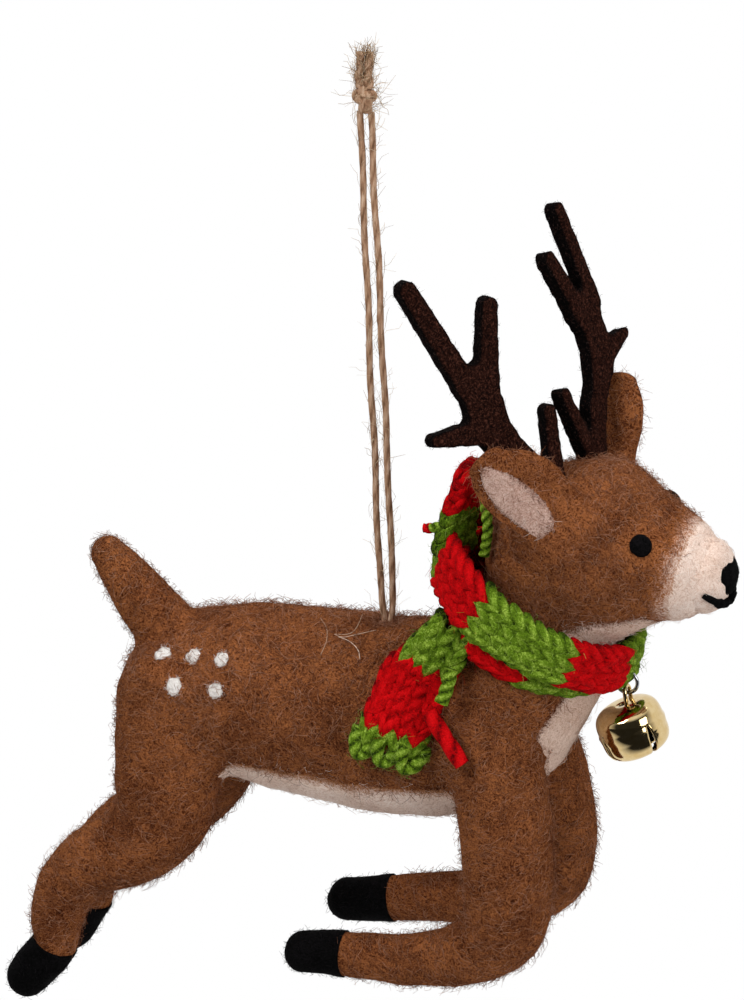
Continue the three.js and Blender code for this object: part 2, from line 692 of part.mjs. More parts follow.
// Scarf turns round the neck: the strip is narrow and nearly upright at the throat, and leans at the
// sides, where the inner turn hangs lowest
const { lerp, degToRad } = THREE.MathUtils;
const tilt = degToRad(SCARF_TILT);
const scarfForward = new THREE.Vector3(Math.cos(tilt), 0, -Math.sin(tilt));
const scarfCentre = new THREE.Vector3(SCARF_X, 0, SCARF_Z);
const neck = torsoForm.at(0.86);
function scarfPlace(turn, drop, angle) {
  const grown = GAP + SCARF_THICKNESS / 2 + turn * (SCARF_THICKNESS + GAP);
  const ahead = neck.halfHeight + SCARF_SLACK + grown;
  const aside = neck.halfWidth + grown;
  const c = Math.cos(angle);
  const s = Math.sin(angle);
  const lean = degToRad(lerp(SCARF_SIDE_LEAN, c > 0 ? SCARF_FRONT_LEAN : SCARF_NAPE_LEAN, Math.abs(c)));
  const up = new THREE.Vector3(Math.sin(lean), 0, Math.cos(lean));
  const centre = scarfCentre.clone().addScaledVector(scarfForward, ahead * c);
  centre.addScaledVector(Y_AXIS, aside * s).addScaledVector(up, (-drop * (1 + s * s)) / 2);
  const along = scarfForward.clone().multiplyScalar(-ahead * s).addScaledVector(Y_AXIS, aside * c);
  const halfWidth = lerp(SCARF_SIDE_WIDTH, SCARF_FRONT_WIDTH, Math.max(0, c)) / 2;
  return { centre, up, outward: along.cross(up).normalize(), halfWidth };
}
function scarfTurn(turn, drop, grow) {
  const rings = [];
  const spans = 22;
  const sides = 8;
  for (let i = 0; i < spans; i++) {
    const { centre, up, outward, halfWidth } = scarfPlace(turn, drop, (2 * Math.PI * i) / spans);
    const ring = [];
    for (let k = 0; k < sides; k++) {
      const [o, u] = sectionPoint((2 * Math.PI * k) / sides, SCARF_THICKNESS / 2 + grow, halfWidth + grow, 3);
      ring.push(centre.clone().addScaledVector(outward, o).addScaledVector(up, u));
    }
    rings.push(ring);
  }
  const solid = solidOf(skin(rings));
  return solid.volume() < 0 ? solidOf(skin(rings.reverse())) : solid;
}

// The ring's pin is a yarn across a notch in the scarf's lower front edge
const throat = scarfPlace(1, 0, 0);
const pin = throat.centre.clone().addScaledVector(throat.up, PIN_INSET - throat.halfWidth);
const notch = rod(SCARF_NOTCH_RADIUS, SCARF_NOTCH_WIDTH, pin, Y_AXIS);
const pinYarn = rod(PIN_DIAMETER / 2, SCARF_NOTCH_WIDTH + 1, pin, Y_AXIS, 8);
const innerTurn = scarfTurn(0, SCARF_INNER_DROP, 0);
const innerRoom = scarfTurn(0, SCARF_INNER_DROP, GAP);
const outerTurn = scarfTurn(1, 0, 0);
const outerRoom = scarfTurn(1, 0, GAP);
figure.add(meshOf("scarf_inner_turn", cut(innerTurn, torsoRoom, headRoom, ...legRooms, notch), RED_KNIT));
const outerBand = cut(outerTurn, torsoRoom, headRoom, innerRoom, ...legRooms, notch);
figure.add(meshOf("scarf_outer_turn", join(outerBand, pinYarn), GREEN_KNIT));

// Scarf ends and loose yarns
function strip(path, width, across, grow) {
  const rows = path.map((point) => [...point, width / 2, SCARF_THICKNESS / 2]);
  const cap = SCARF_THICKNESS / 2;
  const form = new StuffedForm(rows, { across, caps: [cap, cap], rings: 6, sides: 8, squareness: 3 });
  return form.solid(grow);
}
const TAIL_ACROSS = new THREE.Vector3(0.95, 0.1, -0.3).normalize();
const turnRooms = [innerRoom, outerRoom];
const tailStrip = strip(SCARF_TAIL_PATH, SCARF_WIDTH, TAIL_ACROSS, 0);

// The tail lifts about its top edge, and is cut clear of the outer turn all the way up
const tailSlope = vector(SCARF_TAIL_PATH[0]).sub(vector(SCARF_TAIL_PATH[1])).normalize();
const tailTop = vector(SCARF_TAIL_PATH[0]).addScaledVector(tailSlope, SCARF_THICKNESS / 2);
function turnedBack(solid, degrees) {
  const matrix = new THREE.Matrix4().makeTranslation(tailTop);
  matrix.multiply(new THREE.Matrix4().makeRotationAxis(TAIL_ACROSS, THREE.MathUtils.degToRad(degrees)));
  matrix.multiply(new THREE.Matrix4().makeTranslation(tailTop.clone().negate()));
  return solid.transform(matrix.toArray());
}
const liftRooms = [1, 2, 3, 4, 5, 6].map((step) => turnedBack(outerRoom, (TAIL_LIFT * step) / 6));
const scarfTail = cut(tailStrip, torsoRoom, ...legRooms, ...turnRooms, ...liftRooms);
const tailRoom = strip(SCARF_TAIL_PATH, SCARF_WIDTH, TAIL_ACROSS, GAP);
figure.add(meshOf("scarf_tail", scarfTail, RED_KNIT));
const napeStrip = strip(SCARF_NAPE_PATH, SCARF_NAPE_WIDTH, vector(SCARF_NAPE_ACROSS), 0);
const napeEnd = cut(napeStrip, torsoRoom, headRoom, ...turnRooms);
figure.add(meshOf("scarf_nape_end", napeEnd, GREEN_KNIT));
const yarnCuts = [torsoRoom, tailRoom, ...legRooms, ...turnRooms];
function yarnEnd(path) {
  const edge = path.map((point) => vector(point).addScaledVector(TAIL_ACROSS, SCARF_WIDTH / 2).toArray());
  return cut(tube(edge, YARN_DIAMETER, 6), ...yarnCuts);
}
figure.add(meshOf("red_yarn_end", yarnEnd(RED_YARN_PATH), RED_KNIT));
figure.add(meshOf("green_yarn_end", yarnEnd(GREEN_YARN_PATH), GREEN_KNIT));

// Cream patches: thin layers that follow the body and the head
function patch(form, area, ...rooms) {
  return cut(form.solid(GAP + PATCH_THICKNESS).intersect(area), form.solid(GAP), ...rooms);
}
function region({ centre, radii }, segments) {
  return ball(vector(radii), vector(centre), undefined, segments);
}
const bellyRegion = region(BELLY_PATCH, 16);
const chestRegion = region(CHEST_PATCH, 14);
const throatRegion = region(THROAT_PATCH, 12);
const patchCuts = [...legRooms, innerRoom, outerRoom, tailRoom];
figure.add(meshOf("belly_patch", patch(torsoForm, bellyRegion, ...patchCuts, rearBore), CREAM_WOOL));
figure.add(meshOf("chest_patch", patch(torsoForm, chestRegion, ...patchCuts, notch), CREAM_WOOL));
figure.add(meshOf("throat_patch", patch(headForm, throatRegion, torsoRoom, ...patchCuts), PINK_WOOL));

// Jump ring on the pin, in the plane across it
const ringRadius = (RING_DIAMETER - RING_WIRE) / 2;
const ringCentre = pin.clone();
ringCentre.z -= ringRadius - RING_WIRE / 2 - PIN_DIAMETER / 2 - GAP / 2;
const ringGeometry = new THREE.TorusGeometry(ringRadius, RING_WIRE / 2, 6, 14);
ringGeometry.rotateX(Math.PI / 2);
ringGeometry.translate(ringCentre.x, ringCentre.y, ringCentre.z);
const bellHang = ringCentre.clone();
bellHang.z -= ringRadius;
const chain = new THREE.Group();
chain.name = "bell_chain";
chain.add(meshOf("jump_ring", solidOf(ringGeometry), STEEL));

// Jingle bell under the ring, built with its hanging point at its own origin
function bellProfile(inset) {
  const radius = BELL_DIAMETER / 2 - inset;
  const half = BELL_HEIGHT / 2 - inset;
  const points = [];
  for (let i = 0; i <= 8; i++) {
    const angle = -Math.PI / 2 + (Math.PI * i) / 8;
    const [x, y] = sectionPoint(angle, radius, half, 2.35);
    points.push(new THREE.Vector2(Math.max(0, i === 0 || i === 8 ? 0 : x), y));
  }
  return points;
}
function lathe(points, segments) {
  const geometry = new THREE.LatheGeometry(points, segments);
  geometry.rotateX(Math.PI / 2);
  return solidOf(geometry);
}
function box(x, y, z, centre, turnZ) {
  const geometry = new THREE.BoxGeometry(x, y, z);
  geometry.rotateZ(turnZ);
  geometry.translate(centre.x, centre.y, centre.z);
  return solidOf(geometry);
}
const bellCentre = new THREE.Vector3(0, 0, -SHANK_RISE - BELL_HEIGHT / 2);
const crown = -SHANK_RISE;
const shankHole = rod(SHANK_WIDTH / 2 + SHANK_WIRE / 2 + GAP, 3, new THREE.Vector3(0, 0, crown), Z_AXIS);
const bellSlots = [];
for (const turnZ of [Math.PI / 4, -Math.PI / 4]) {
  const slotCentre = bellCentre.clone().addScaledVector(Z_AXIS, -BELL_HEIGHT / 2);
  bellSlots.push(box(2 * BELL_DIAMETER, BELL_SLOT_WIDTH, BELL_HEIGHT - 1.2, slotCentre, turnZ));
  const across = new THREE.Vector3(Math.cos(turnZ), Math.sin(turnZ), 0);
  const holeCentre = bellCentre.clone().addScaledVector(Z_AXIS, -0.6);
  bellSlots.push(rod(BELL_SLOT_HOLE / 2, 2 * BELL_DIAMETER, holeCentre, across, 10));
}
const bellSkin = lathe(bellProfile(0), 20).translate(bellCentre.toArray());
const bellRoom = lathe(bellProfile(BELL_WALL), 20).translate(bellCentre.toArray());

// The shank is a wire arch with a foot clinched under the crown
const arch = [];
for (let i = 0; i <= 8; i++) {
  const angle = (Math.PI * i) / 8;
  arch.push([0, (SHANK_WIDTH / 2) * Math.cos(angle), (SHANK_WIDTH / 2) * Math.sin(angle)]);
}
const footTop = crown - BELL_WALL - GAP;
const legEnd = footTop - 0.2;
const shankPath = [[0, SHANK_WIDTH / 2, legEnd], ...arch, [0, -SHANK_WIDTH / 2, legEnd]];
const foot = rod(SHANK_FOOT / 2, 0.5, new THREE.Vector3(0, 0, footTop - 0.35), Z_AXIS, 10);
const shank = join(tube(shankPath, SHANK_WIRE, 14, 6), foot);
const pelletLow = BELL_HEIGHT / 2 - BELL_WALL - PELLET_DIAMETER / 2 - GAP;
const pelletCentre = bellCentre.clone().addScaledVector(Z_AXIS, -pelletLow);
const pellet = ball(new THREE.Vector3().setScalar(PELLET_DIAMETER / 2), pelletCentre);

const bell = new THREE.Group();
bell.name = "bell";
bell.position.copy(bellHang);
bell.rotation.y = -THREE.MathUtils.degToRad(BELL_TILT);
bell.add(meshOf("bell_shell", cut(bellSkin, bellRoom, shankHole, ...bellSlots), GOLD));
bell.add(meshOf("bell_shank", shank, GOLD));
bell.add(meshOf("bell_pellet", pellet, STEEL));
chain.add(bell);
figure.add(chain);

// Twine
const hanger = new THREE.Group();
hanger.name = "hanger";
const knotBase = -KNOT_HEIGHT / 4;
const knotCentre = new THREE.Vector3(0, 0, knotBase + KNOT_HEIGHT / 2);
const knotRadii = new THREE.Vector3(KNOT_WIDTH * 0.4, KNOT_WIDTH * 0.36, KNOT_HEIGHT / 2);
const knotCore = ball(knotRadii, knotCentre, undefined, 8);
const wrapGeometry = new THREE.TorusGeometry((KNOT_WIDTH - TWINE_DIAMETER) / 2, TWINE_DIAMETER / 2, 6, 12);
wrapGeometry.rotateX(0.35);
wrapGeometry.rotateY(0.3);
wrapGeometry.translate(knotCentre.x, knotCentre.y, knotCentre.z);
hanger.add(meshOf("twine_knot", join(knotCore, solidOf(wrapGeometry)), JUTE));
const endBase = knotBase + KNOT_HEIGHT + GAP;
for (const [name, side] of [["rear_twine_end", -1], ["front_twine_end", 1]]) {
  const x = (side * (TWINE_DIAMETER + GAP)) / 2;
  const path = [
    [x, 0, endBase],
    [x * 1.05, 0.15 * side, endBase + TWINE_END_LENGTH * 0.5],
    [x * 1.3, 0.3 * side, endBase + TWINE_END_LENGTH],
  ];
  hanger.add(meshOf(name, tube(path, TWINE_DIAMETER, 5), JUTE));
}

const twine = new THREE.Group();
twine.name = "twine";
const strandTop = -SWAY_DEPTH + 0.2;
const strandLow = anchorCentre.z + anchorRadius + GAP - TWINE_DROP;
for (const [name, side] of [["rear_twine_strand", -1], ["front_twine_strand", 1]]) {
  const path = [];
  for (let i = 0; i <= 8; i++) {
    const share = i / 8;
    const spread = THREE.MathUtils.lerp(TWINE_SPREAD_TOP, TWINE_SPREAD_BACK, share) / 2;
    const bow = TWINE_BOW * Math.sin(Math.PI * share) * 0.5;
    const height = THREE.MathUtils.lerp(strandTop, strandLow, share);
    path.push([side * (spread + bow * 0.4), bow * side * 0.5, height]);
  }
  twine.add(meshOf(name, tube(path, TWINE_DIAMETER, 14), JUTE));
}
const anchorGroup = new THREE.Group();
anchorGroup.name = "twine_anchor_group";
anchorGroup.position.z = -TWINE_DROP;
anchorGroup.add(meshOf("twine_anchor", anchor, JUTE));

const ornament = new THREE.Group();
ornament.name = "felt_reindeer_ornament";
ornament.add(hanger, twine, anchorGroup, figure);

export default ornament;
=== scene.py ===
"""A leaping needle-felted reindeer that hangs on a knotted loop of twine: its looks.

Lengths are millimetres in the ornament's own frame unless a name says otherwise: the origin under the
twine's knot, +Z up, +X towards the nose, +Y the deer's left. The figure's rows are measured from where the
twine meets the back, and are moved down by the twine's drop. make() turns millimetres to metres.
"""

import math
import bpy
import numpy as np
from mathutils import Matrix, Vector
from mathutils.bvhtree import BVHTree


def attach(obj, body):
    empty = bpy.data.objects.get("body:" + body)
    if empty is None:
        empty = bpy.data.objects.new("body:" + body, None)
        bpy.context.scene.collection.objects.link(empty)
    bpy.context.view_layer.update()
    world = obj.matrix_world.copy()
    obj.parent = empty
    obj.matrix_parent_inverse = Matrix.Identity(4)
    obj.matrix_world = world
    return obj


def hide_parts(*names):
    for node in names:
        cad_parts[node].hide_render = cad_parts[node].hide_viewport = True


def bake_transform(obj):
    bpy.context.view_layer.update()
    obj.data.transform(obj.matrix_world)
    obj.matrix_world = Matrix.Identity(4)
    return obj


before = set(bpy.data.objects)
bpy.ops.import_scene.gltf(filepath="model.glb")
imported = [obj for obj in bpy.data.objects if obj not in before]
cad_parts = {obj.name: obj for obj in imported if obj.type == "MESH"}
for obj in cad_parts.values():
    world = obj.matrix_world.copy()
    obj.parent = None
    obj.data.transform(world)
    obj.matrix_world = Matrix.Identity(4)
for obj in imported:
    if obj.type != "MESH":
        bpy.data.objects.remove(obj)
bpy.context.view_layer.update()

MM = 0.001
X_WAY, Y_WAY, Z_WAY = np.eye(3)

# Twine loop
TWINE_DROP = 96.0
TWINE_TOP = -1.7
TWINE_LOW = -97.2
TWINE_SPREAD_TOP = 1.9
TWINE_SPREAD_BACK = 2.2
TWINE_BOW = 0.25
TWINE_WANDER = 0.12
TWINE_ENTRY = 0.94
TWINE_DRAWN_IN = 0.55
TWINE_PLY_PITCH = 10.5
STRAND_RADIUS = 0.6

# Knot on top, its core and its two ends, and the knot that is buried in the back
KNOT_DEPTH = 1.2
KNOT_SCALE = [0.47, 0.42, 0.47]
KNOT_Z = 1.0
KNOT_RADIUS = 0.95
KNOT_PLY_PITCH = 4.0
KNOT_CORE = (-1.6, 3.4)
KNOT_CORE_RADIUS = 1.25
KNOT_CORE_PITCH = 6.0
END_X = 0.75
END_LOW = 3.0
END_LENGTH = 6.4
END_RADIUS = 0.95
END_TAPER = 0.25
END_PLY_PITCH = 5.0
ANCHOR_Z = -99.4
ANCHOR_SCALE = [0.62, 0.7, 0.55]
ANCHOR_RADIUS = 0.55
STUB_X = 0.58
STUB_SPAN = (-99.6, -96.6)
STUB_RADIUS = 0.52
HOLE_Z = -97.0
HOLE_RADIUS = 1.7
HOLE_DEPTH = 0.5
HOLE_FUZZ_Z = -96.9
HOLE_FUZZ_RADIUS = 3.4

# Lengths of the rounded caps at both ends of each form, and how near a skin's end rings go to its poles
TORSO_CAPS = (4, 4)
HEAD_CAPS = (4.5, 4.6)
TAIL_CAPS = (2.8, 2.8)
LEG_CAPS = (3, 3)
POLE_GAP = 0.004

# Forms, each row x, y, z, half width across the spine, half height
TORSO_ROWS = [
    [-43.2, 0, -18.1, 10.3, 9.5],
    [-37, 0, -16.2, 13.4, 12.8],
    [-26, 0, -16, 15.6, 15],
    [-10, 0, -17.3, 16.4, 16.7],
    [6, 0, -17.8, 16, 17.3],
    [17.5, 0, -14.2, 14.6, 16.2],
    [25.5, 0, -6.2, 12.9, 13.2],
    [30.5, 0, 3.5, 12.3, 12.7],
    [34, 0, 12.5, 11, 11],
]
HEAD_ROWS = [
    [25.5, 0, 18, 9.8, 10.5],
    [31, 0, 17.6, 12.6, 13.8],
    [38, 0, 16.8, 13.6, 15.6],
    [44.3, 0, 15.9, 12.6, 14.5],
    [50.6, 0, 15.1, 10.6, 11.1],
    [56, 0, 13.9, 8.3, 9],
    [59.2, 0, 13.3, 5.8, 6.7],
]
TAIL_ROWS = [
    [-37.5, 0, -10, 5.2, 5.2],
    [-41, 0, -5.8, 5.4, 5.4],
    [-45.7, 0, -0.2, 4.9, 4.9],
    [-49.2, 0, 4.7, 4, 4],
    [-51.3, 0, 7.3, 3.1, 3.1],
]
RIGHT_FRONT_LEG_ROWS = [
    [21.5, -9.5, -15, 7, 7.6],
    [23.8, -11.8, -25, 7, 8.3],
    [24.8, -12.6, -34, 6.9, 8.3],
    [24.6, -12.6, -43, 6.7, 8],
    [22.9, -12.5, -51.8, 6.4, 7],
    [14.8, -12.5, -57.2, 5.2, 5.5],
    [4, -12.5, -59.1, 4.3, 4.4],
    [-5.5, -12.5, -59, 3.9, 3.8],
    [-14, -12.5, -59.3, 3.4, 3.3],
]
LEFT_FRONT_LEG_ROWS = [
    [20.2, 9.5, -15, 7, 7.6],
    [21.2, 11.8, -25, 7, 8],
    [23.5, 12.6, -34.5, 6.9, 7.7],
    [24.8, 12.6, -43.4, 6.6, 7.2],
    [23.4, 12.5, -51, 6.2, 6.5],
    [16, 12.5, -56, 5.1, 5.2],
    [6, 12.5, -57.2, 4.3, 4.4],
    [-5, 12.5, -58.6, 3.9, 3.9],
    [-14.5, 12.5, -59.9, 3.5, 3.5],
]
RIGHT_REAR_LEG_ROWS = [
    [-34.6, -8.5, -12.5, 7.4, 9.8],
    [-36.8, -9.8, -20.5, 8.1, 10.4],
    [-38.2, -11, -29, 7.9, 9.3],
    [-39.3, -12, -36.5, 7.4, 8.3],
    [-44.5, -12.5, -42, 6.6, 7.2],
    [-52.4, -12.5, -46, 5.8, 6],
    [-57.4, -12.5, -51.4, 5.1, 5.2],
    [-59.4, -12.5, -57.5, 4.5, 4.6],
    [-60, -12.5, -62.3, 3.9, 3.9],
    [-63.6, -12.5, -66.8, 3.8, 3.8],
    [-65.7, -12.5, -69.1, 3.3, 3.3],
]
LEFT_REAR_LEG_ROWS = [
    [-34.5, 8.5, -12, 7.4, 10],
    [-36, 9.8, -21, 8, 10.2],
    [-37.5, 11, -30, 7.8, 9],
    [-39.8, 12, -37.5, 7.3, 8],
    [-45, 12.5, -43.6, 6.5, 6.8],
    [-53, 12.5, -48, 5.7, 5.6],
    [-59, 12.5, -53, 5, 4.9],
    [-61.8, 12.5, -59, 4.4, 4.4],
    [-62.8, 12.5, -64, 3.9, 3.9],
    [-66, 12.5, -69.5, 3.8, 3.8],
    [-68, 12.5, -72, 3.3, 3.3],
]
FRONT_HOOF = 0.885
REAR_HOOF = 0.8
FELT_JOIN = 3.2

# Ears: root and tip on the head, and the way the lining faces. Each row of the leaf's profile is a share of
# the way from root to tip, and the shares of width and thickness there
RIGHT_EAR = {"root": [34.4, -13.2, 25.9], "tip": [25.2, -19.4, 40], "facing": [0.56, -0.83, 0]}
LEFT_EAR = {"root": [37.6, 14.4, 26.6], "tip": [37.8, 20, 41.4], "facing": [0.3, 0.95, 0]}
EAR_WIDTH = 10.8
EAR_THICKNESS = 3.6
EAR_PROFILE = [[-0.2, 0.5, 1], [0.12, 0.8, 1], [0.42, 1, 0.95], [0.72, 0.95, 0.85], [0.92, 0.66, 0.65]]
EAR_CAPS = (1.5, 1.5)
EAR_CUP = 0.9
EAR_JOIN = 6.5
RIGHT_EAR_SWELL = 3.2
LINING_MIDDLE = 0.53
LINING_REACH = 0.36
LINING_TURN = 0.26
LINING_HALF_ANGLE = 0.74
LINING_RISE = 0.5
LINING_DEPTH = 0.6
LINING_SINK = 0.2

# Face
EYE_DIAMETER = 4
EYE_THICKNESS = 2.4
EYE_X = 50.4
EYE_Z = 21.8
LEFT_EYE_HIGHER = 1.8
BROW_X = 45.5
BROW_Z = 22
BROW_LENGTH = 5.5
BROW_HEIGHT = 5
BROW_RISE = 1.2
MUZZLE_X = 55.2
MUZZLE_LEAN = 15
MUZZLE_DROP = 1.5
MUZZLE_LAP = 1.2
MUZZLE_SINK = 0.35
MUZZLE_RISE = 0.55
MUZZLE_FADE = 1.6
HEAD_FADE = 9
NOSE_RADII = [2.8, 4.1, 4.3]
NOSE_INSET = 2
NOSE_RISE = 0.4
NOSE_NARROWING = 0.3
MOUTH_THICKNESS = 1.8
MOUTH_HALF_WIDTH = 5.8
MOUTH_LOW = 9.2
MOUTH_RISE = 2.8
MOUTH_LIFT = 0.25
LIP_UNDER_NOSE = 2.6

# Antlers: each cut freehand, so each has its own pattern in its own plane, where a tine is x, y and width
# at both ends
ANTLER_THICKNESS = 3
ANTLER_CROTCH = 1.6
ANTLER_ROUNDING = 0.9
ANTLER_EDGE_DROP = 0.3
RIGHT_ANTLER = {
    "root": [34.2, -6, 34.1],
    "out": [-0.626, -0.78, 0],
    "up": [-0.157, 0.126, 0.98],
    "splay": 15.7,
    "tines": [
        [1.8, -5, 4.6, 8, 9, 5.5],
        [8, 9, 5.5, 8.5, 16, 6.6],
        [8.5, 16, 6.6, 8.1, 20.4, 7.4],
        [10.2, 21.5, 4.2, 13.5, 42, 3.5],
        [5.8, 20.5, 4, 0.2, 31.8, 3.2],
        [9.5, 12.2, 5, 19.6, 15.7, 2.3],
        [1.4, -2.5, 3, -2.5, 9.4, 2.4],
    ],
}
LEFT_ANTLER = {
    "root": [36.6, 6, 31],
    "out": [0.3, 0.954, 0],
    "up": [-0.31, 0.046, 0.95],
    "splay": 0,
    "tines": [
        [-1.6, -5, 4.6, 4.2, 7.4, 3.9],
        [4.2, 7.4, 3.9, 8.3, 13.5, 4.9],
        [8.3, 13.5, 4.9, 9.4, 19, 5],
        [9.4, 19, 5, 9, 24, 6.8],
        [11.6, 25, 3.2, 9.7, 42.2, 2.6],
        [7.2, 24, 3.6, 3.7, 35, 2.8],
        [9.4, 15.4, 5.2, 16.8, 17.1, 1.9],
        [-0.6, 0, 3.4, -3, 12.4, 2.4],
    ],
}

# White spots on each hip, each row x, z and width
SPOTS = [
    [-38.3, -6.4, 2.9],
    [-32.5, -6.1, 2.6],
    [-27, -5.9, 2.4],
    [-34.6, -10.2, 2.7],
    [-27.2, -10.5, 2.5],
]
SPOT_HEIGHT = 0.45
SPOT_STRETCH = 1.08
SPOT_SINK = 0.06

# How far beside and ahead of the deer lines start that are cast at its skin
BESIDE = 40
AHEAD = 90

# Scarf: widths, the lean of its strip at throat, sides and nape in degrees, and the places where it goes
SCARF_WIDTH = 13
SCARF_SIDE_WIDTH = 10.6
SCARF_FRONT_WIDTH = 8.6
SCARF_THICKNESS = 2.8
SCARF_TILT = 31.6
SCARF_FRONT_LEAN = 14
SCARF_SIDE_LEAN = 44
SCARF_NAPE_LEAN = 16
SCARF_SLACK = 1.46
SCARF_X = 28.1
SCARF_Z = 6.2
SCARF_INNER_DROP = 5
EDGE_ROUNDING = 3.2
NECK_SHARE = 0.86
CLEARANCE = 0.3
SCARF_TAIL_PATH = [
    [14.9, -14.4, 6],
    [11.8, -14.6, -0.5],
    [8.8, -15, -6.5],
    [6.5, -17, -12.5],
    [4.7, -18.3, -18.5],
]
SCARF_NAPE_PATH = [[15, -5, 17], [16, -5, 22], [17.5, -5.2, 27], [18.7, -5.4, 31.6]]
SCARF_NAPE_WIDTH = 8.5
NAPE_ACROSS = [-0.5, -0.866, 0]
NAPE_END_SHARE = 0.48
TAIL_ACROSS = [0.9488, 0.0999, -0.2996]
TAIL_CORNER = 0.75
TAIL_CORNER_LENGTH = 11
TAIL_END_LOOPS = 2.2
RED_YARN_PATH = [[13.2, -17.8, -9.6], [16.2, -19, -13.2], [19.6, -19.6, -18]]
GREEN_YARN_PATH = [[17.4, -17, -1.4], [16.8, -17.8, -4.4], [15.8, -18.6, -7.2]]
NAPE_STRAND_PATH = [[21.6, -8, 27], [22.5, -9.4, 23], [22.2, -9.6, 20], [21.6, -9.4, 17.4]]
NAPE_END_PATH = [[15.4, -5.6, 21.4], [12.6, -6.2, 20.6], [10.9, -6.2, 20.2]]
NAPE_TIP_PATH = [[11, -6.2, 20.2], [10.2, -6.2, 20.1], [9.6, -6.2, 20.1]]

# Where the scarf's stripes change: degrees round the neck, then millimetres along the two ends
INNER_BORDERS = (-66, -10, 60, 120)
OUTER_BORDERS = (-150, -112, -54, -9, 40, 90, 140)
NAPE_BORDERS = (-1, 7.8)
TAIL_BORDERS = (-1, 9.2, 22.4)

# Knitting
YARN_DIAMETER = 2
YARN_SIDES = 8
YARN_PLY_PITCH = 4.6
TURN_WALES = 3
TAIL_WALES = 4
COURSE = 2.7
BACKING_DEPTH = 0.35
BACKING_THICKNESS = 0.45
BACKING_INSET = 0.9
YARN_HALO = {"length": (0.8, 2.4), "rise": 0.35, "stray": 0.25, "thick": (0.018, 0.036)}
LOOP_YARN_RADIUS = 1.25
LOOP_PLY_PITCH = 4.4
LOOP_REACH = 3.6

# Jingle bell on its ring
RING_CENTRE = [43.51, 0, -104.086]
RING_DIAMETER = 4.6
RING_WIRE = 0.7
BELL_HANG = [43.51, 0, -106.036]
BELL_DIAMETER = 12
BELL_HEIGHT = 9.4
BELL_WALL = 0.36
BELL_SQUARENESS = 3.8
BELL_SEAM = 0.16
BELL_SEAM_GROOVE = 0.08
BELL_SLOT_WIDTH = 1.1
BELL_SLOT_TOP = 1.3
BELL_SLOT_TAPER = 3.0
BELL_TILT = 6
BELL_ASKEW = 15
BELL_WELD = 0.02
SHANK_WIDTH = 2.5
SHANK_WIRE = 0.76
SHANK_RISE = 1.9
SHANK_FOOT = 0.9
PELLET_RADIUS = 1.8

# Straws caught in the wool, each as places x, z on a plane beside the deer, from where they are seen
STRAW_PLANE_Y = -8
STRAW_RADIUS = 0.075
STRAW_LIFT = 0.12
STRAW_STEPS = 14
STRAW_SIDES = 5
STRAWS = [
    [[-9.6, 2.0], [-8.5, 0.1], [-8.7, -2.3], [-9.9, -5.0]],
    [[-1.8, 3.4], [-3.0, 0.8], [-4.5, -0.5], [-7.1, -0.8]],
    [[-7.1, -0.8], [-5.7, -1.2], [-3.8, -0.7], [0.6, 0.7]],
    [[-6.4, -1.2], [-4.3, -1.9], [-2.9, -3.3], [-2.6, -5.0]],
]

# Needled wool: lumps, and fibres as shares of their own length
LUMP = 0.28
HEAD_LUMP = 0.24
EAR_LUMP = 0.2
LUMP_SIZE = 5.0
FINE_LUMP_SIZE = 1.9
FINE_LUMP_SHARE = 0.4
FIBRE_SWAY = 0.42
FIBRE_WAVE = 0.13
FIBRE_SUNK = 0.08
FIBRE_SIDES = 3
DOWN = {"steps": 3, "lift": (0.2, 0.8)}
OFF_PATCH = 1.3
OFF_EYE = 1.8
OFF_HOOF = 1.5

# View of the photograph
VIEW_AZIMUTH = 20
VIEW_ELEVATION = 22
VIEW_ROLL = 2.58
VIEW_MM_PER_PIXEL = 0.174
PICTURE_HEIGHT = 1000
HANG_RIGHT_PIXELS = -7
HANG_UP_PIXELS = 394
FIGURE_MIDDLE_M = (0.005, 0, -0.110)
CAMERA_DISTANCE_M = 5.5
SENSOR_MM = 36

# Studio
FLOOR_BELOW_M = 0.62
FLOOR_HALF_M = 12.0
LIGHT_TARGET_M = (0, 0, -0.11)
FILL_LIGHT = 0.28

# Large odd numbers that mix a lattice point's place into a random value
LATTICE_MIXERS = np.array([374761393, 668265263, 1440662683])
SEED_MIXER = 974634777
LAST_MIXER = 1274126177

NO_FACES = np.zeros((0, 3), int)


def unit(v):
    """Directions of length one."""
    return v / np.maximum(np.linalg.norm(v, axis=-1, keepdims=True), 1e-9)


def dot(a, b):
    """Dot product along the last axis, kept as an axis."""
    return (a * b).sum(-1, keepdims=True)


def linear(code):
    """An sRGB hex code as linear red, green, blue and alpha."""
    channel = np.array([int(code[i : i + 2], 16) for i in (1, 3, 5)]) / 255
    low, high = channel / 12.92, ((channel + 0.055) / 1.055) ** 2.4
    return (*np.where(channel <= 0.04045, low, high), 1.0)


def smooth_line(rows, t):
    """Smooth line through rows at shares t, and its slope: on each span a cubic that has half the step
    between the neighbours as its slope at either end."""
    rows = np.asarray(rows, float)
    ends = np.vstack([2 * rows[0] - rows[1], rows, 2 * rows[-1] - rows[-2]])
    place = np.clip(t, 0, 1) * (len(rows) - 1)
    span = np.minimum(place.astype(int), len(rows) - 2)
    w = (place - span)[..., None]
    a, b, c, d = (ends[span + i] for i in range(4))
    first, last = (c - a) / 2, (d - b) / 2
    cubic, square = 2 * b - 2 * c + first + last, -3 * b + 3 * c - 2 * first - last
    return ((cubic * w + square) * w + first) * w + b, (3 * cubic * w + 2 * square) * w + first


def travelled(points):
    """Distance from a line's start to each of its points."""
    return np.concatenate([[0], np.cumsum(np.linalg.norm(np.diff(points, axis=0), axis=1))])


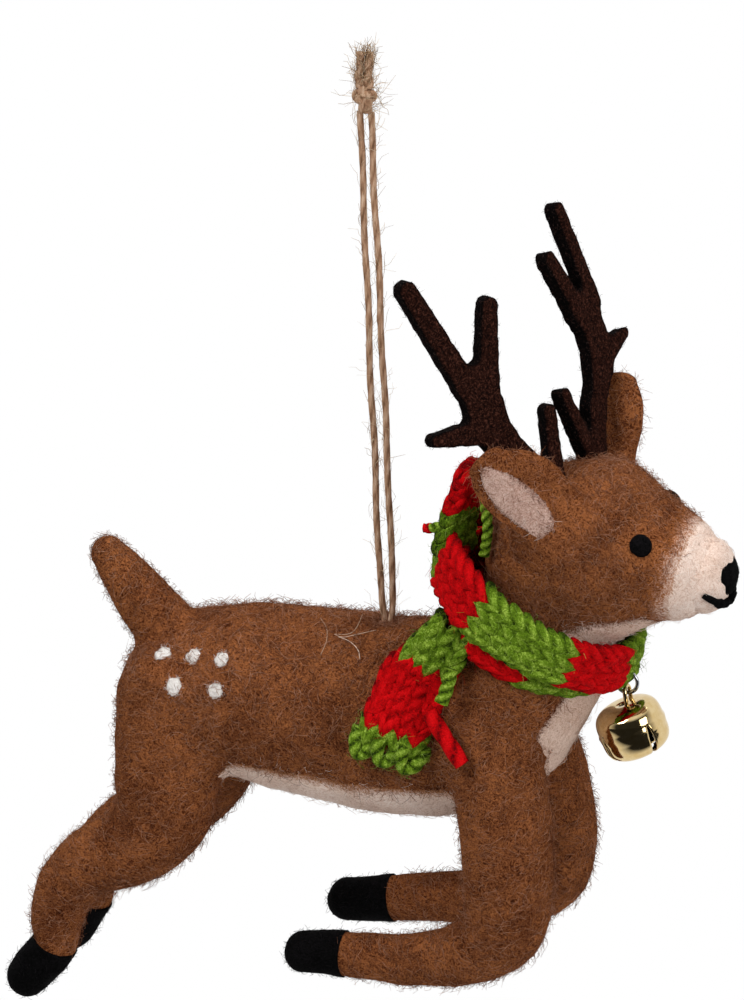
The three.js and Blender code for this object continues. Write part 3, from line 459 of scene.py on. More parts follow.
def even_steps(points, steps):
    """A line of evenly spaced points along a finer one, and its length."""
    travel = travelled(points)
    wanted = np.linspace(0, travel[-1], steps)
    return np.stack([np.interp(wanted, travel, points[:, i]) for i in range(3)], -1), travel[-1]


def full_turn(count):
    """Evenly spaced angles once round."""
    return np.linspace(0, 2 * np.pi, count, endpoint=False)


def net(rows, columns):
    """Two grids of the same size, one with each row's value and one with each column's."""
    return np.meshgrid(rows, columns, indexing="ij")


def lumps(points, size, seed):
    """Smooth random heights from -1 to 1: values on a lattice of that size, blended with eased weights."""
    lattice = np.floor(points / size).astype(np.int64)
    part = points / size - lattice
    part = part * part * (3 - 2 * part)
    total = 0
    for corner in np.indices((2, 2, 2)).reshape(3, -1).T:
        mixed = (lattice + corner) @ LATTICE_MIXERS + seed * SEED_MIXER
        mixed = (mixed ^ (mixed >> 13)) * LAST_MIXER
        value = ((mixed ^ (mixed >> 16)) & 0xFFFF) / 32767.5 - 1
        total = total + value * np.where(corner, part, 1 - part).prod(-1)
    return total


class Form:
    """A stuffed form: ellipses carried along a smooth spine, rounded off over a cap at either end."""

    def __init__(self, rows, caps, across=(0, 1, 0)):
        """Rows are measured from the back, caps are the ends' lengths, across is the way of the width."""
        self.rows = np.array(rows, float)
        self.rows[:, 2] -= TWINE_DROP
        self.caps = caps
        self.across = np.array(across, float)
        line = smooth_line(self.rows, np.linspace(0, 1, 200))[0][:, :3]
        self.length = np.linalg.norm(np.diff(line, axis=0), axis=1).sum()
        girth = self.rows[[0, -1], 3:].mean(1)
        arcs = math.pi / 2 * np.sqrt((girth**2 + np.array(caps) ** 2) / 2)
        self.start, self.end = arcs / (self.length + arcs.sum())

    def at(self, t):
        """Centre, spine direction, width and height directions, and half sizes at shares t of the spine."""
        row, slope = smooth_line(self.rows, t)
        along = unit(slope[..., :3])
        wide = unit(self.across - dot(self.across, along) * along)
        return row[..., :3], along, wide, np.cross(along, wide), row[..., 3:]

    def share(self, t):
        """The skin's share s where the spine's share is t."""
        return self.start + t * (1 - self.start - self.end)

    def skin(self, s, angle, grow=0.0):
        """Points and outward directions at shares s from end to end and angles round the spine: an ellipse
        whose girth falls as a cosine over the caps while its centre moves on as a sine."""
        t = np.clip((s - self.start) / (1 - self.start - self.end), 0, 1)
        lead = np.clip(1 - s / self.start, 0, 1)[..., None] * math.pi / 2
        trail = np.clip((s - 1 + self.end) / self.end, 0, 1)[..., None] * math.pi / 2
        centre, along, wide, tall, half = self.at(t)
        girth = np.cos(lead) * np.cos(trail)
        w, h = half[..., :1] + grow, half[..., 1:] + grow
        first, last = self.caps[0] + grow, self.caps[1] + grow
        c, d = girth * np.cos(angle)[..., None], girth * np.sin(angle)[..., None]
        centre = centre + along * (last * np.sin(trail) - first * np.sin(lead))
        outward = wide * c / w + tall * d / h + along * (np.sin(trail) / last - np.sin(lead) / first)
        return centre + wide * w * c + tall * h * d, unit(outward)

    def reach(self, points, samples=32, stubby=0.7):
        """Distance outside the form, less than nought inside: the least over ellipsoids along the spine,
        each a share stubby of its smaller half size long."""
        least = np.full(points.shape[:-1], 1e9)
        for centre, along, wide, tall, (w, h) in zip(*self.at(np.linspace(0, 1, samples))):
            offset, small = points - centre, min(w, h)
            across = (offset @ wide / w) ** 2 + (offset @ tall / h) ** 2
            size = across + (offset @ along / (stubby * small)) ** 2
            least = np.minimum(least, (np.sqrt(size) - 1) * small)
        return least


def least_reach(points, forms):
    """Distance to the nearest of the forms."""
    return np.min([form.reach(points) for form in forms], axis=0)


def felted_in(points, outward, others, width):
    """Lift that rounds the crease where a form runs into others: each point near them moves out until the
    smooth least of its own height a and its distance b to the others is nought, found by halving. The
    smooth least is min(a, b) less a quarter of width times the square of 1 - |a - b| / width."""
    lift = np.zeros(points.shape[:-1])
    if not others:
        return lift
    gap = least_reach(points, others)
    near = (gap < width) & (gap > -2 * width)
    low, high = np.zeros(near.sum()), np.full(near.sum(), float(width))
    for _ in range(7):
        a = (low + high) / 2
        b = least_reach(points[near] + outward[near] * a[:, None], others)
        value = np.minimum(a, b) - width / 4 * np.maximum(1 - np.abs(a - b) / width, 0) ** 2
        low, high = np.where(value < 0, a, low), np.where(value < 0, high, a)
    lift[near] = high
    return lift


def felt_skin(form, others, s, angle, seed, lump=LUMP, grow=0.0, width=FELT_JOIN):
    """The form's skin, felted into its neighbours, with the soft lumps that needling leaves."""
    points, outward = form.skin(s, angle, grow)
    points = points + outward * felted_in(points, outward, others, width)[..., None]
    height = lump * lumps(points, LUMP_SIZE, seed)
    height = height + FINE_LUMP_SHARE * lump * lumps(points, FINE_LUMP_SIZE, seed + 1)
    return points + outward * height[..., None], outward


def grid_faces(rows, columns, wrap_rows=False, wrap_columns=True):
    """Quads between neighbouring rows and columns of a grid of points."""
    r = np.arange(rows if wrap_rows else rows - 1)[:, None]
    c = np.arange(columns if wrap_columns else columns - 1)[None, :]
    r2, c2 = (r + 1) % rows, (c + 1) % columns
    corners = [r * columns + c, r * columns + c2, r2 * columns + c2, r2 * columns + c]
    return np.stack(np.broadcast_arrays(*corners), -1).reshape(-1, 4)


def closed_rings(rings):
    """Points and faces of rings (rows, sides, 3), closed at both ends by a fan to the end ring's middle."""
    rows, sides = rings.shape[:2]
    points = np.vstack([rings.reshape(-1, 3), rings[0].mean(0), rings[-1].mean(0)])
    c = np.arange(sides)
    last, first_pole, last_pole = (rows - 1) * sides, rows * sides, rows * sides + 1
    first = np.stack([np.full(sides, first_pole), (c + 1) % sides, c], -1)
    end = np.stack([np.full(sides, last_pole), last + c, last + (c + 1) % sides], -1)
    return points, grid_faces(rows, sides), np.vstack([first, end])


def two_faces(upper, lower, outward):
    """A closed layer between two grids of points: both faces, and a rim of quads round their borders. It is
    turned over where its upper face doesn't look outward at the middle."""
    rows, columns = upper.shape[:2]
    count = rows * columns
    quads = grid_faces(rows, columns, wrap_columns=False)
    rim = np.concatenate([
        np.arange(columns),
        np.arange(1, rows) * columns + columns - 1,
        (rows - 1) * columns + np.arange(columns - 2, -1, -1),
        np.arange(rows - 2, 0, -1) * columns,
    ])
    after = np.roll(rim, -1)
    rim_quads = np.stack([rim, after, after + count, rim + count], -1)
    r, c = rows // 2, columns // 2
    if np.cross(upper[r, c + 1] - upper[r, c], upper[r + 1, c] - upper[r, c]) @ outward < 0:
        quads, rim_quads = quads[:, ::-1], rim_quads[:, ::-1]
    points = np.vstack([upper.reshape(-1, 3), lower.reshape(-1, 3)])
    return points, np.vstack([quads, quads[:, ::-1] + count, rim_quads[:, ::-1]]), NO_FACES


def join(*shapes):
    """Several (points, quads, triangles) as one."""
    offsets = np.cumsum([0] + [len(points) for points, _, _ in shapes])
    return (
        np.vstack([points for points, _, _ in shapes]),
        np.vstack([quads + o for (_, quads, _), o in zip(shapes, offsets)]),
        np.vstack([triangles + o for (_, _, triangles), o in zip(shapes, offsets)]),
    )


def make(name, shape, finish, body="figure", nodes=(), **attributes):
    """A smooth mesh piece from points in millimetres, quads and triangles. It has its finish's material,
    rides on a body, stands for nodes, and carries attributes with one number to a point."""
    points, quads, triangles = shape
    material, slot = finish
    mesh = bpy.data.meshes.new(name)
    mesh.vertices.add(len(points))
    mesh.vertices.foreach_set("co", (points * MM).astype(np.float32).ravel())
    corners = np.concatenate([quads.ravel(), triangles.ravel()]).astype(np.int32)
    sizes = np.concatenate([np.full(len(quads), 4), np.full(len(triangles), 3)])
    mesh.loops.add(len(corners))
    mesh.loops.foreach_set("vertex_index", corners)
    mesh.polygons.add(len(sizes))
    mesh.polygons.foreach_set("loop_start", (np.cumsum(sizes) - sizes).astype(np.int32))
    mesh.update(calc_edges=True)
    mesh.validate()
    for key, values in attributes.items():
        layer = mesh.attributes.new(key, "FLOAT", "POINT")
        layer.data.foreach_set("value", values.astype(np.float32).ravel())
    mesh.polygons.foreach_set("use_smooth", np.full(len(mesh.polygons), True))
    mesh.materials.append(material)
    piece = bpy.data.objects.new(name, mesh)
    bpy.context.scene.collection.objects.link(piece)
    if body:
        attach(piece, body)
    if nodes:
        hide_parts(*nodes)
    return piece


def ply_crown(angle, travel, pitch, phase):
    """How near a place on a two-ply section is to a ply's crown: 1 on it and 0 in the groove. The section
    turns once each pitch of length."""
    return np.abs(np.cos(angle - 2 * np.pi * travel / pitch + phase)) ** 0.8


def tubes(lines, facing, radius, sides, pitch=None, groove=0.0, phase=0.0):
    """Closed tubes round lines of points (count, steps, 3). A facing direction near each point sets its
    section, and radius may vary along the line. With a pitch the section is a twisted two-ply yarn's, with
    grooves that take a share of the radius."""
    count, steps = lines.shape[:2]
    along = unit(np.gradient(lines, axis=1))
    side = unit(np.cross(along, facing))
    up = np.cross(along, side)
    angle = 2 * np.pi * np.arange(sides) / sides
    radius = np.broadcast_to(radius, (count, steps))[..., None]
    if pitch:
        step = np.linalg.norm(np.diff(lines, axis=1), axis=-1)
        travel = np.concatenate([np.zeros((count, 1)), np.cumsum(step, 1)], 1)
        radius = radius * (1 - groove + groove * ply_crown(angle, travel[..., None], pitch, phase))
    ring = side[:, :, None] * np.cos(angle)[:, None] + up[:, :, None] * np.sin(angle)[:, None]
    points = (lines[:, :, None] + ring * radius[..., None] * np.ones((1, 1, sides, 1))).reshape(-1, 3)
    base = np.arange(count)[:, None, None] * steps * sides
    quads = (grid_faces(steps, sides)[None] + base).reshape(-1, 4)
    fan = np.stack([np.zeros(sides - 2, int), np.arange(2, sides), np.arange(1, sides - 1)], -1)
    ends = np.vstack([fan, fan[:, ::-1] + (steps - 1) * sides])
    return points, quads, (ends[None] + base).reshape(-1, 3)


def groove_of(count, steps, sides, step, pitch, phase=0.0):
    """The groove attribute of plied tubes with steps of one length: 0 on a ply's crown, 1 in the groove,
    where the yarn and jute materials paint shade.
    """
    angle = 2 * np.pi * np.arange(sides) / sides
    travel = np.arange(steps) * step
    return np.tile((1 - ply_crown(angle[None], travel[:, None], pitch, phase)).ravel(), count)


def rope(line, radius, pitch, steps, sides=12, groove=0.3, phase=0.0):
    """A plied rope along one line of points, with its groove attribute, even line and length."""
    even, length = even_steps(line, steps)
    along = np.gradient(even, axis=0)
    side = unit(np.cross(along, [0.13, 0.98, 0.11]))
    shape = tubes(even[None], np.cross(side, along)[None], radius, sides, pitch, groove, phase)
    return shape, groove_of(1, steps, sides, length / (steps - 1), pitch, phase), even, length


def scatter(points, quads, count, rng):
    """Random places on a skin, as many per area everywhere, with the outward direction at each."""
    a, b, c, d = (points[quads[:, i]] for i in range(4))
    normal = np.cross(c - a, d - b)
    area = np.linalg.norm(normal, axis=1)
    pick = rng.choice(len(quads), count, p=area / area.sum())
    u, v = rng.random((2, count, 1))
    place = (a[pick] * (1 - u) + b[pick] * u) * (1 - v) + (d[pick] * (1 - u) + c[pick] * u) * v
    return place, unit(normal[pick])


def fibre_lines(roots, outward, rng, length, curve, rise, stray, heading, steps, lift):
    """Centre lines of wool fibres: each runs from its root along the skin, near its heading if it has one,
    sways sideways, drops with the skin's radius curve, and rises as half a sine. A share stray of them end
    well off the skin, by a share lift of their length."""
    count = len(roots)
    spread = rng.normal(size=(count, 3))
    if heading is not None:
        spread = np.cross(heading, outward) + 0.45 * spread
    ahead = unit(np.cross(outward, spread))
    aside = np.cross(outward, ahead)
    share = np.linspace(0, 1, steps)
    size = rng.uniform(*length, (count, 1))
    forward = size * share
    sway = rng.normal(0, FIBRE_SWAY, (count, 1)) * share**2
    wave = FIBRE_WAVE * np.sin(share * rng.uniform(3, 9, (count, 1)) + rng.uniform(0, 6, (count, 1)))
    sideways = size * (sway + wave)
    top = rise * rng.random((count, 1)) ** 2
    loose = np.where(rng.random((count, 1)) < stray, rng.uniform(*lift, (count, 1)), 0) * size
    height = top * np.sin(np.pi * share**0.8) + loose * share**1.6 - FIBRE_SUNK
    height = height - (forward**2 + sideways**2) / (2 * curve)
    offset = ahead[:, None] * forward[..., None] + aside[:, None] * sideways[..., None]
    return roots[:, None] + offset + outward[:, None] * height[..., None]


def fuzz(name, skin, count, seed, finish, curve, length, rise, stray, body="figure", hidden=(), keep=None,
         heading=None, thick=(0.022, 0.042), steps=5, lift=(0.15, 0.45)):
    """Loose fibres over a skin of points and quads, as closed thin tubes, thickest in the middle. None grow
    where a hidden form covers the skin or where keep says no."""
    rng = np.random.default_rng(seed)
    roots, outward = scatter(*skin, count, rng)
    free = np.ones(count, bool)
    if len(hidden):
        free &= least_reach(roots, hidden) > 0.15
    if keep is not None:
        free &= keep(roots)
    roots, outward = roots[free], outward[free]
    way = heading(roots, outward) if callable(heading) else heading
    lines = fibre_lines(roots, outward, rng, length, curve, rise, stray, way, steps, lift)
    share = np.linspace(0, 1, steps)
    girth = rng.uniform(*thick, (len(lines), 1)) * (0.4 + 0.6 * np.sin(np.pi * (0.1 + 0.8 * share)))
    shape = tubes(lines, unit(rng.normal(size=(len(lines), 1, 3))), girth, FIBRE_SIDES)
    tone = np.repeat(rng.random(len(lines)), steps * FIBRE_SIDES)
    return make(name, shape, finish, body, tone=tone)


def wrapped(form):
    """Headings for fibres wound round a form: across its spine and along the skin."""
    centres, along, _, _, _ = form.at(np.linspace(0, 1, 40))

    def heading(roots, outward):
        """The heading at each root, from the nearest place on the spine."""
        nearest = np.argmin(((roots[:, None] - centres[None]) ** 2).sum(-1), 1)
        return np.cross(along[nearest], outward) + 0.35 * along[nearest]

    return heading


def seen(shape):
    """A lookup of a shape's skin for straight lines cast at it."""
    points, quads, triangles = shape
    return BVHTree.FromPolygons(points.tolist(), quads.tolist() + triangles.tolist())


def cast(lookups, start, direction):
    """The first point that a straight line meets on any of the skins, and the outward direction there."""
    hits = [lookup.ray_cast(Vector(start), Vector(direction)) for lookup in lookups]
    hits = [hit for hit in hits if hit[0] is not None]
    place, normal, _, _ = min(hits, key=lambda hit: hit[3])
    normal = np.array(normal)
    return np.array(place), normal if normal @ np.array(direction) < 0 else -normal


# Materials


def node(tree, kind, inputs=None, stops=(), **properties):
    """Adds a node, sets its properties and a ramp's (place, hex code) stops, and sets or links its inputs
    by name or number."""
    made = tree.nodes.new(kind)
    for key, value in properties.items():
        setattr(made, key, value)
    if stops:
        elements = made.color_ramp.elements
        while len(elements) < len(stops):
            elements.new(0.5)
        for element, (place, code) in zip(elements, stops):
            element.position, element.color = place, linear(code)
    for key, value in (inputs or {}).items():
        if isinstance(value, bpy.types.NodeSocket):
            tree.links.new(value, made.inputs[key])
        else:
            made.inputs[key].default_value = value
    return made


def new_material(name):
    """An empty node material and its tree."""
    material = bpy.data.materials.new(name)
    material.use_nodes = True
    material.node_tree.nodes.clear()
    return material, material.node_tree


def per_mm(size):
    """The scale of a pattern whose features are that many millimetres wide, on coordinates in metres."""
    return 1000.0 / size


def felted_wool(name, tones, pale=None, blush=None):
    """Needle-felted wool: matted fibre with no gloss. Thin lighter fibres cross each other every way over a
    darker ground with soft blotches, and painted shade darkens a pit wherever the needle went in deep. Each
    layer of fibres is where a long drawn noise passes its middle value. pale is a second wool that the
    piece's own attribute pale mixes in at felted borders, and blush the tint where both are thin. The
    fibres are drawn about 0.15 mm wide, coarser than real ones, so that they show."""
    material, tree = new_material(name)
    place = node(tree, "ShaderNodeTexCoord").outputs["Object"]
    swirl = node(tree, "ShaderNodeTexNoise", {"Vector": place, "Scale": per_mm(5.0), "Detail": 2.0})
    bent = node(tree, "ShaderNodeVectorMath", {0: swirl.outputs["Color"], 1: (0.0042,) * 3, 2: place},
                operation="MULTIPLY_ADD").outputs[0]
    fibres = 0.0
    for turn in ((0.5, 0.3, 0.0), (0.9, 1.3, 0.4), (-0.7, -0.6, 0.9)):
        laid = node(tree, "ShaderNodeMapping", {"Vector": bent, "Rotation": turn, "Scale": (1, 1, 6)},
                    vector_type="TEXTURE").outputs[0]
        noise = node(tree, "ShaderNodeTexNoise", {
            "Vector": laid, "Scale": per_mm(0.5), "Detail": 2.0, "Roughness": 0.6}).outputs["Fac"]
        away = node(tree, "ShaderNodeMath", {0: noise, 1: 0.5}, operation="SUBTRACT").outputs[0]
        away = node(tree, "ShaderNodeMath", {0: away}, operation="ABSOLUTE").outputs[0]
        line = node(tree, "ShaderNodeMapRange", {
            "Value": away, "From Max": 0.065, "To Min": 1.0, "To Max": 0.0}).outputs[0]
        fibres = node(tree, "ShaderNodeMath", {0: line, 1: fibres}, operation="MAXIMUM").outputs[0]
    fine = node(tree, "ShaderNodeTexNoise", {
        "Vector": bent, "Scale": per_mm(0.3), "Detail": 3.0, "Roughness": 0.7}).outputs["Fac"]
    fine = node(tree, "ShaderNodeMath", {0: fine, 1: 0.55, 2: 0.13}, operation="MULTIPLY_ADD").outputs[0]
    grain = node(tree, "ShaderNodeMath", {0: fibres, 1: 0.24, 2: fine}, operation="MULTIPLY_ADD").outputs[0]
    blotch = node(tree, "ShaderNodeTexNoise", {
        "Vector": place, "Scale": per_mm(7.0), "Detail": 3.0}).outputs["Fac"]
    tone = node(tree, "ShaderNodeMath", {0: blotch, 1: 0.3, 2: -0.15}, operation="MULTIPLY_ADD").outputs[0]
    tone = node(tree, "ShaderNodeMath", {0: tone, 1: grain}, operation="ADD").outputs[0]
    # Painted shade in the needle pits: the tone drops near each cell's seed point
    cells = node(tree, "ShaderNodeTexVoronoi", {"Vector": bent, "Scale": per_mm(1.5)}).outputs["Distance"]
    pit_shade = node(tree, "ShaderNodeMapRange", {
        "Value": cells, "From Min": 0.08, "From Max": 0.24, "To Min": 0.09, "To Max": 0.0}).outputs[0]
    tone = node(tree, "ShaderNodeMath", {0: tone, 1: pit_shade}, operation="SUBTRACT").outputs[0]
    stops = (0.3, 0.5, 0.7)
    colour = node(tree, "ShaderNodeValToRGB", {0: tone}, [*zip(stops, tones)]).outputs["Color"]
    if pale:
        other = node(tree, "ShaderNodeValToRGB", {0: tone}, [*zip(stops, pale)]).outputs["Color"]
        share = node(tree, "ShaderNodeAttribute", attribute_name="pale").outputs["Fac"]
        ragged = node(tree, "ShaderNodeMath", {0: tone, 1: 1.2, 2: -0.6}, operation="MULTIPLY_ADD")
        share = node(tree, "ShaderNodeMath", {0: share, 1: ragged.outputs[0]}, operation="ADD").outputs[0]
        if blush:
            tint = node(tree, "ShaderNodeMapRange", {
                "Value": share, "From Min": 0.0, "From Max": 0.26, "To Max": 0.9}).outputs[0]
            colour = node(tree, "ShaderNodeMix", {"Factor": tint, 6: colour, 7: linear(blush)},
                          data_type="RGBA").outputs[2]
        share = node(tree, "ShaderNodeMapRange", {
            "Value": share, "From Min": 0.3, "From Max": 0.75}).outputs[0]
        colour = node(tree, "ShaderNodeMix", {"Factor": share, 6: colour, 7: other},
                      data_type="RGBA").outputs[2]
    bump = node(tree, "ShaderNodeBump", {"Height": tone, "Strength": 0.5, "Distance": 0.0004})
    shader = node(tree, "ShaderNodeBsdfPrincipled", {
        "Base Color": colour, "Roughness": 0.96, "Specular IOR Level": 0.04, "Normal": bump.outputs[0]})
    node(tree, "ShaderNodeOutputMaterial", {"Surface": shader.outputs[0]})
    return material


def loose_fibre(name, *tones):
    """Single fibres off wool, felt or jute: dull, one tone to each, from the piece's attribute tone."""
    material, tree = new_material(name)
    tone = node(tree, "ShaderNodeAttribute", attribute_name="tone").outputs["Fac"]
    colour = node(tree, "ShaderNodeValToRGB", {0: tone}, [*zip((0.1, 0.5, 0.95), tones)]).outputs["Color"]
    shader = node(tree, "ShaderNodeBsdfPrincipled", {
        "Base Color": colour, "Roughness": 0.9, "Specular IOR Level": 0.08})
    node(tree, "ShaderNodeOutputMaterial", {"Surface": shader.outputs[0]})
    return material


def spun_yarn(name, first, second):
    """Spun and plied wool yarn in two colours, chosen by the piece's attribute stripe: hairs that run with
    the twist, with painted shade where the attribute groove marks it: between plies, where a row dips, on
    the backing."""
    material, tree = new_material(name)
    place = node(tree, "ShaderNodeTexCoord").outputs["Object"]
    groove = node(tree, "ShaderNodeAttribute", attribute_name="groove").outputs["Fac"]
    stripe = node(tree, "ShaderNodeAttribute", attribute_name="stripe").outputs["Fac"]
    hair = node(tree, "ShaderNodeTexNoise", {
        "Vector": place, "Scale": per_mm(0.35), "Detail": 3.0, "Distortion": 1.2}).outputs["Fac"]
    # Painted shade: the groove attribute darkens the tone
    tone = node(tree, "ShaderNodeMath", {0: groove, 1: -0.5, 2: hair}, operation="MULTIPLY_ADD").outputs[0]
    stops = (0.05, 0.42, 0.68)
    one = node(tree, "ShaderNodeValToRGB", {0: tone}, [*zip(stops, first)]).outputs["Color"]
    two = node(tree, "ShaderNodeValToRGB", {0: tone}, [*zip(stops, second)]).outputs["Color"]
    colour = node(tree, "ShaderNodeMix", {"Factor": stripe, 6: one, 7: two}, data_type="RGBA").outputs[2]
    bump = node(tree, "ShaderNodeBump", {"Height": hair, "Strength": 0.5, "Distance": 0.0003})
    shader = node(tree, "ShaderNodeBsdfPrincipled", {
        "Base Color": colour, "Roughness": 0.8, "Specular IOR Level": 0.06, "Normal": bump.outputs[0]})
    node(tree, "ShaderNodeOutputMaterial", {"Surface": shader.outputs[0]})
    return material


def cut_felt(name, face, edge):
    """Thick pressed felt sheet: a matted face, and cut edges darkened as painted shade, which the attribute
    edge marks.
    """
    material, tree = new_material(name)
    place = node(tree, "ShaderNodeTexCoord").outputs["Object"]
    swirl = node(tree, "ShaderNodeTexNoise", {"Vector": place, "Scale": per_mm(2.0), "Detail": 2.0})
    bent = node(tree, "ShaderNodeVectorMath", {0: swirl.outputs["Color"], 1: (0.002,) * 3, 2: place},
                operation="MULTIPLY_ADD").outputs[0]
    mat = node(tree, "ShaderNodeTexNoise", {
        "Vector": bent, "Scale": per_mm(0.4), "Detail": 4.0, "Roughness": 0.7}).outputs["Fac"]
    marked = node(tree, "ShaderNodeAttribute", attribute_name="edge").outputs["Fac"]
    one = node(tree, "ShaderNodeValToRGB", {0: mat}, [*zip((0.38, 0.52, 0.68), face)]).outputs["Color"]
    two = node(tree, "ShaderNodeValToRGB", {0: mat}, [*zip((0.35, 0.58, 0.72), edge)]).outputs["Color"]
    # Painted shade on the cut edges, by the attribute edge
    colour = node(tree, "ShaderNodeMix", {"Factor": marked, 6: one, 7: two}, data_type="RGBA").outputs[2]
    bump = node(tree, "ShaderNodeBump", {"Height": mat, "Strength": 0.8, "Distance": 0.0006})
    shader = node(tree, "ShaderNodeBsdfPrincipled", {
        "Base Color": colour, "Roughness": 0.95, "Specular IOR Level": 0.03, "Normal": bump.outputs[0]})
    node(tree, "ShaderNodeOutputMaterial", {"Surface": shader.outputs[0]})
    return material


def twisted_jute(name, tones):
    """Jute twine: coarse golden-brown bast fibre that runs with the twist, with painted shade between its
    two plies.
    """
    material, tree = new_material(name)
    place = node(tree, "ShaderNodeTexCoord").outputs["Object"]
    groove = node(tree, "ShaderNodeAttribute", attribute_name="groove").outputs["Fac"]
    drawn = node(tree, "ShaderNodeVectorMath", {0: place, 1: (1, 1, 0.14)}, operation="MULTIPLY").outputs[0]
    hair = node(tree, "ShaderNodeTexNoise", {
        "Vector": drawn, "Scale": per_mm(0.4), "Detail": 4.0, "Roughness": 0.65}).outputs["Fac"]
    # Painted shade: the groove attribute darkens the jute between its plies
    tone = node(tree, "ShaderNodeMath", {0: groove, 1: -0.3, 2: hair}, operation="MULTIPLY_ADD").outputs[0]
    colour = node(tree, "ShaderNodeValToRGB", {0: tone}, [*zip((0.15, 0.42, 0.66), tones)]).outputs["Color"]
    bump = node(tree, "ShaderNodeBump", {"Height": hair, "Strength": 0.7, "Distance": 0.0003})
    shader = node(tree, "ShaderNodeBsdfPrincipled", {
        "Base Color": colour, "Roughness": 0.9, "Specular IOR Level": 0.1, "Normal": bump.outputs[0]})
    node(tree, "ShaderNodeOutputMaterial", {"Surface": shader.outputs[0]})
    return material


def polished_metal(name, tones, roughness):
    """Plated and tumbled metal: a clear reflection, and faint handling marks that only change gloss."""
    material, tree = new_material(name)
    place = node(tree, "ShaderNodeTexCoord").outputs["Object"]
    marks = node(tree, "ShaderNodeTexNoise", {
        "Vector": place, "Scale": per_mm(1.2), "Detail": 5.0}).outputs["Fac"]
    gloss = node(tree, "ShaderNodeMapRange", {
        "Value": marks, "From Min": 0.4, "From Max": 0.75, "To Min": roughness,
        "To Max": roughness + 0.06}).outputs[0]
    wave = node(tree, "ShaderNodeTexNoise", {
        "Vector": place, "Scale": per_mm(3.0), "Detail": 1.0}).outputs["Fac"]
    bump = node(tree, "ShaderNodeBump", {"Height": wave, "Strength": 0.06, "Distance": 0.0003})
    colour = node(tree, "ShaderNodeValToRGB", {0: marks}, [*zip((0.3, 0.7), tones)]).outputs["Color"]
    shader = node(tree, "ShaderNodeBsdfPrincipled", {
        "Base Color": colour, "Metallic": 1.0, "Roughness": gloss, "Normal": bump.outputs[0]})
    node(tree, "ShaderNodeOutputMaterial", {"Surface": shader.outputs[0]})
    return material


# Tones of each wool and felt, from the darkest, where painted shade in pit and groove falls, to its
# lightest fibres
BROWN = ("#301509", "#5c2f17", "#966244")
CREAM = ("#cba792", "#ecd0bf", "#fbeadf")
PINK = ("#8f6a5b", "#bd998a", "#dcbfb2")
# Cream wool darkened as painted shade, for the chest and throat under the scarf and head
CREAM_IN_SHADE = ("#ac8873", "#d0af9c", "#e8d0c1")
BLACK = ("#020202", "#050505", "#131113")
WHITE = ("#c4bab3", "#ebe5df", "#faf7f4")
RED = ("#5a0003", "#c60409", "#e21219")
GREEN = ("#162203", "#64841a", "#b2cd55")
ANTLER_FACE = ("#0c0504", "#2a140e", "#573429")
# The antlers' cut edges, darker as painted shade
ANTLER_EDGE = ("#030202", "#0a0606", "#4f3e39")
JUTE = ("#74543d", "#b38b6e", "#dcbda2")

# Finishes: each a material, and the part's slot that it stands for
BROWN_FELT = felted_wool("brown felted wool", BROWN, pale=CREAM, blush="#a46335"), "brown_wool"
BROWN_HAIR = loose_fibre("loose brown wool", "#71432b", "#8f5c40", "#b0836a"), "brown_wool"
CREAM_FELT = felted_wool("cream felted wool", BROWN, pale=CREAM, blush="#b27a52"), "cream_wool"
CREAM_HAIR = loose_fibre("loose cream wool", "#c9a896", "#e6cdbe", "#f8ebe2"), "cream_wool"
# Chest and throat: cream wool darkened as painted shade
CHEST_FELT = felted_wool("cream felted wool in painted shade", BROWN, pale=CREAM_IN_SHADE), "cream_wool"
THROAT_FELT = CHEST_FELT[0], "pink_wool"
PINK_FELT = felted_wool("pink felted wool", BROWN, pale=PINK), "pink_wool"
LINING_HAIR = CREAM_HAIR[0], "pink_wool"
BLACK_FELT = felted_wool("black felted wool", BLACK), "black_wool"
BLACK_HAIR = loose_fibre("loose black wool", "#030303", "#080808", "#1e1b1d"), "black_wool"
WHITE_FELT = felted_wool("white felted wool", WHITE), "white_wool"
WHITE_HAIR = loose_fibre("loose white wool", "#d2cac3", "#ece6e0", "#fbf8f5"), "white_wool"
ANTLER_FELT = cut_felt("dark brown cut felt", ANTLER_FACE, ANTLER_EDGE), "antler_felt"
ANTLER_HAIR = loose_fibre("loose antler felt", "#070404", "#180c09", "#3c2620"), "antler_felt"
RED_YARN = spun_yarn("red and green plied wool yarn", RED, GREEN), "red_knit"
GREEN_YARN = RED_YARN[0], "green_knit"
RED_HAIR = loose_fibre("loose red wool", "#8e0206", "#c5060c", "#de242a"), "red_knit"
GREEN_HAIR = loose_fibre("loose green wool", "#3f590b", "#76952a", "#aac763"), "green_knit"
JUTE_TWINE = twisted_jute("two-ply jute", JUTE), "jute_twine"
JUTE_HAIR = loose_fibre("loose jute", "#85664a", "#b99a78", "#e2ccae"), "jute_twine"
STRAW = loose_fibre("straw in the wool", "#b08c72", "#d0b096", "#e8d2bf"), "brown_wool"
GOLD_PLATE = polished_metal("polished gold plate", ("#cdb078", "#dcc595"), 0.07), "gold_metal"
STEEL_PLATE = polished_metal("bright steel wire", ("#9a9a9c", "#c9c9cc"), 0.2), "steel_wire"
# The bell's inside wall, near black: painted shade inside the bell
shaded_bell_inside = polished_metal("bell inside in painted shade", ("#1c0f06", "#2c1a0c"), 0.55)

# Camera at the photograph's angle

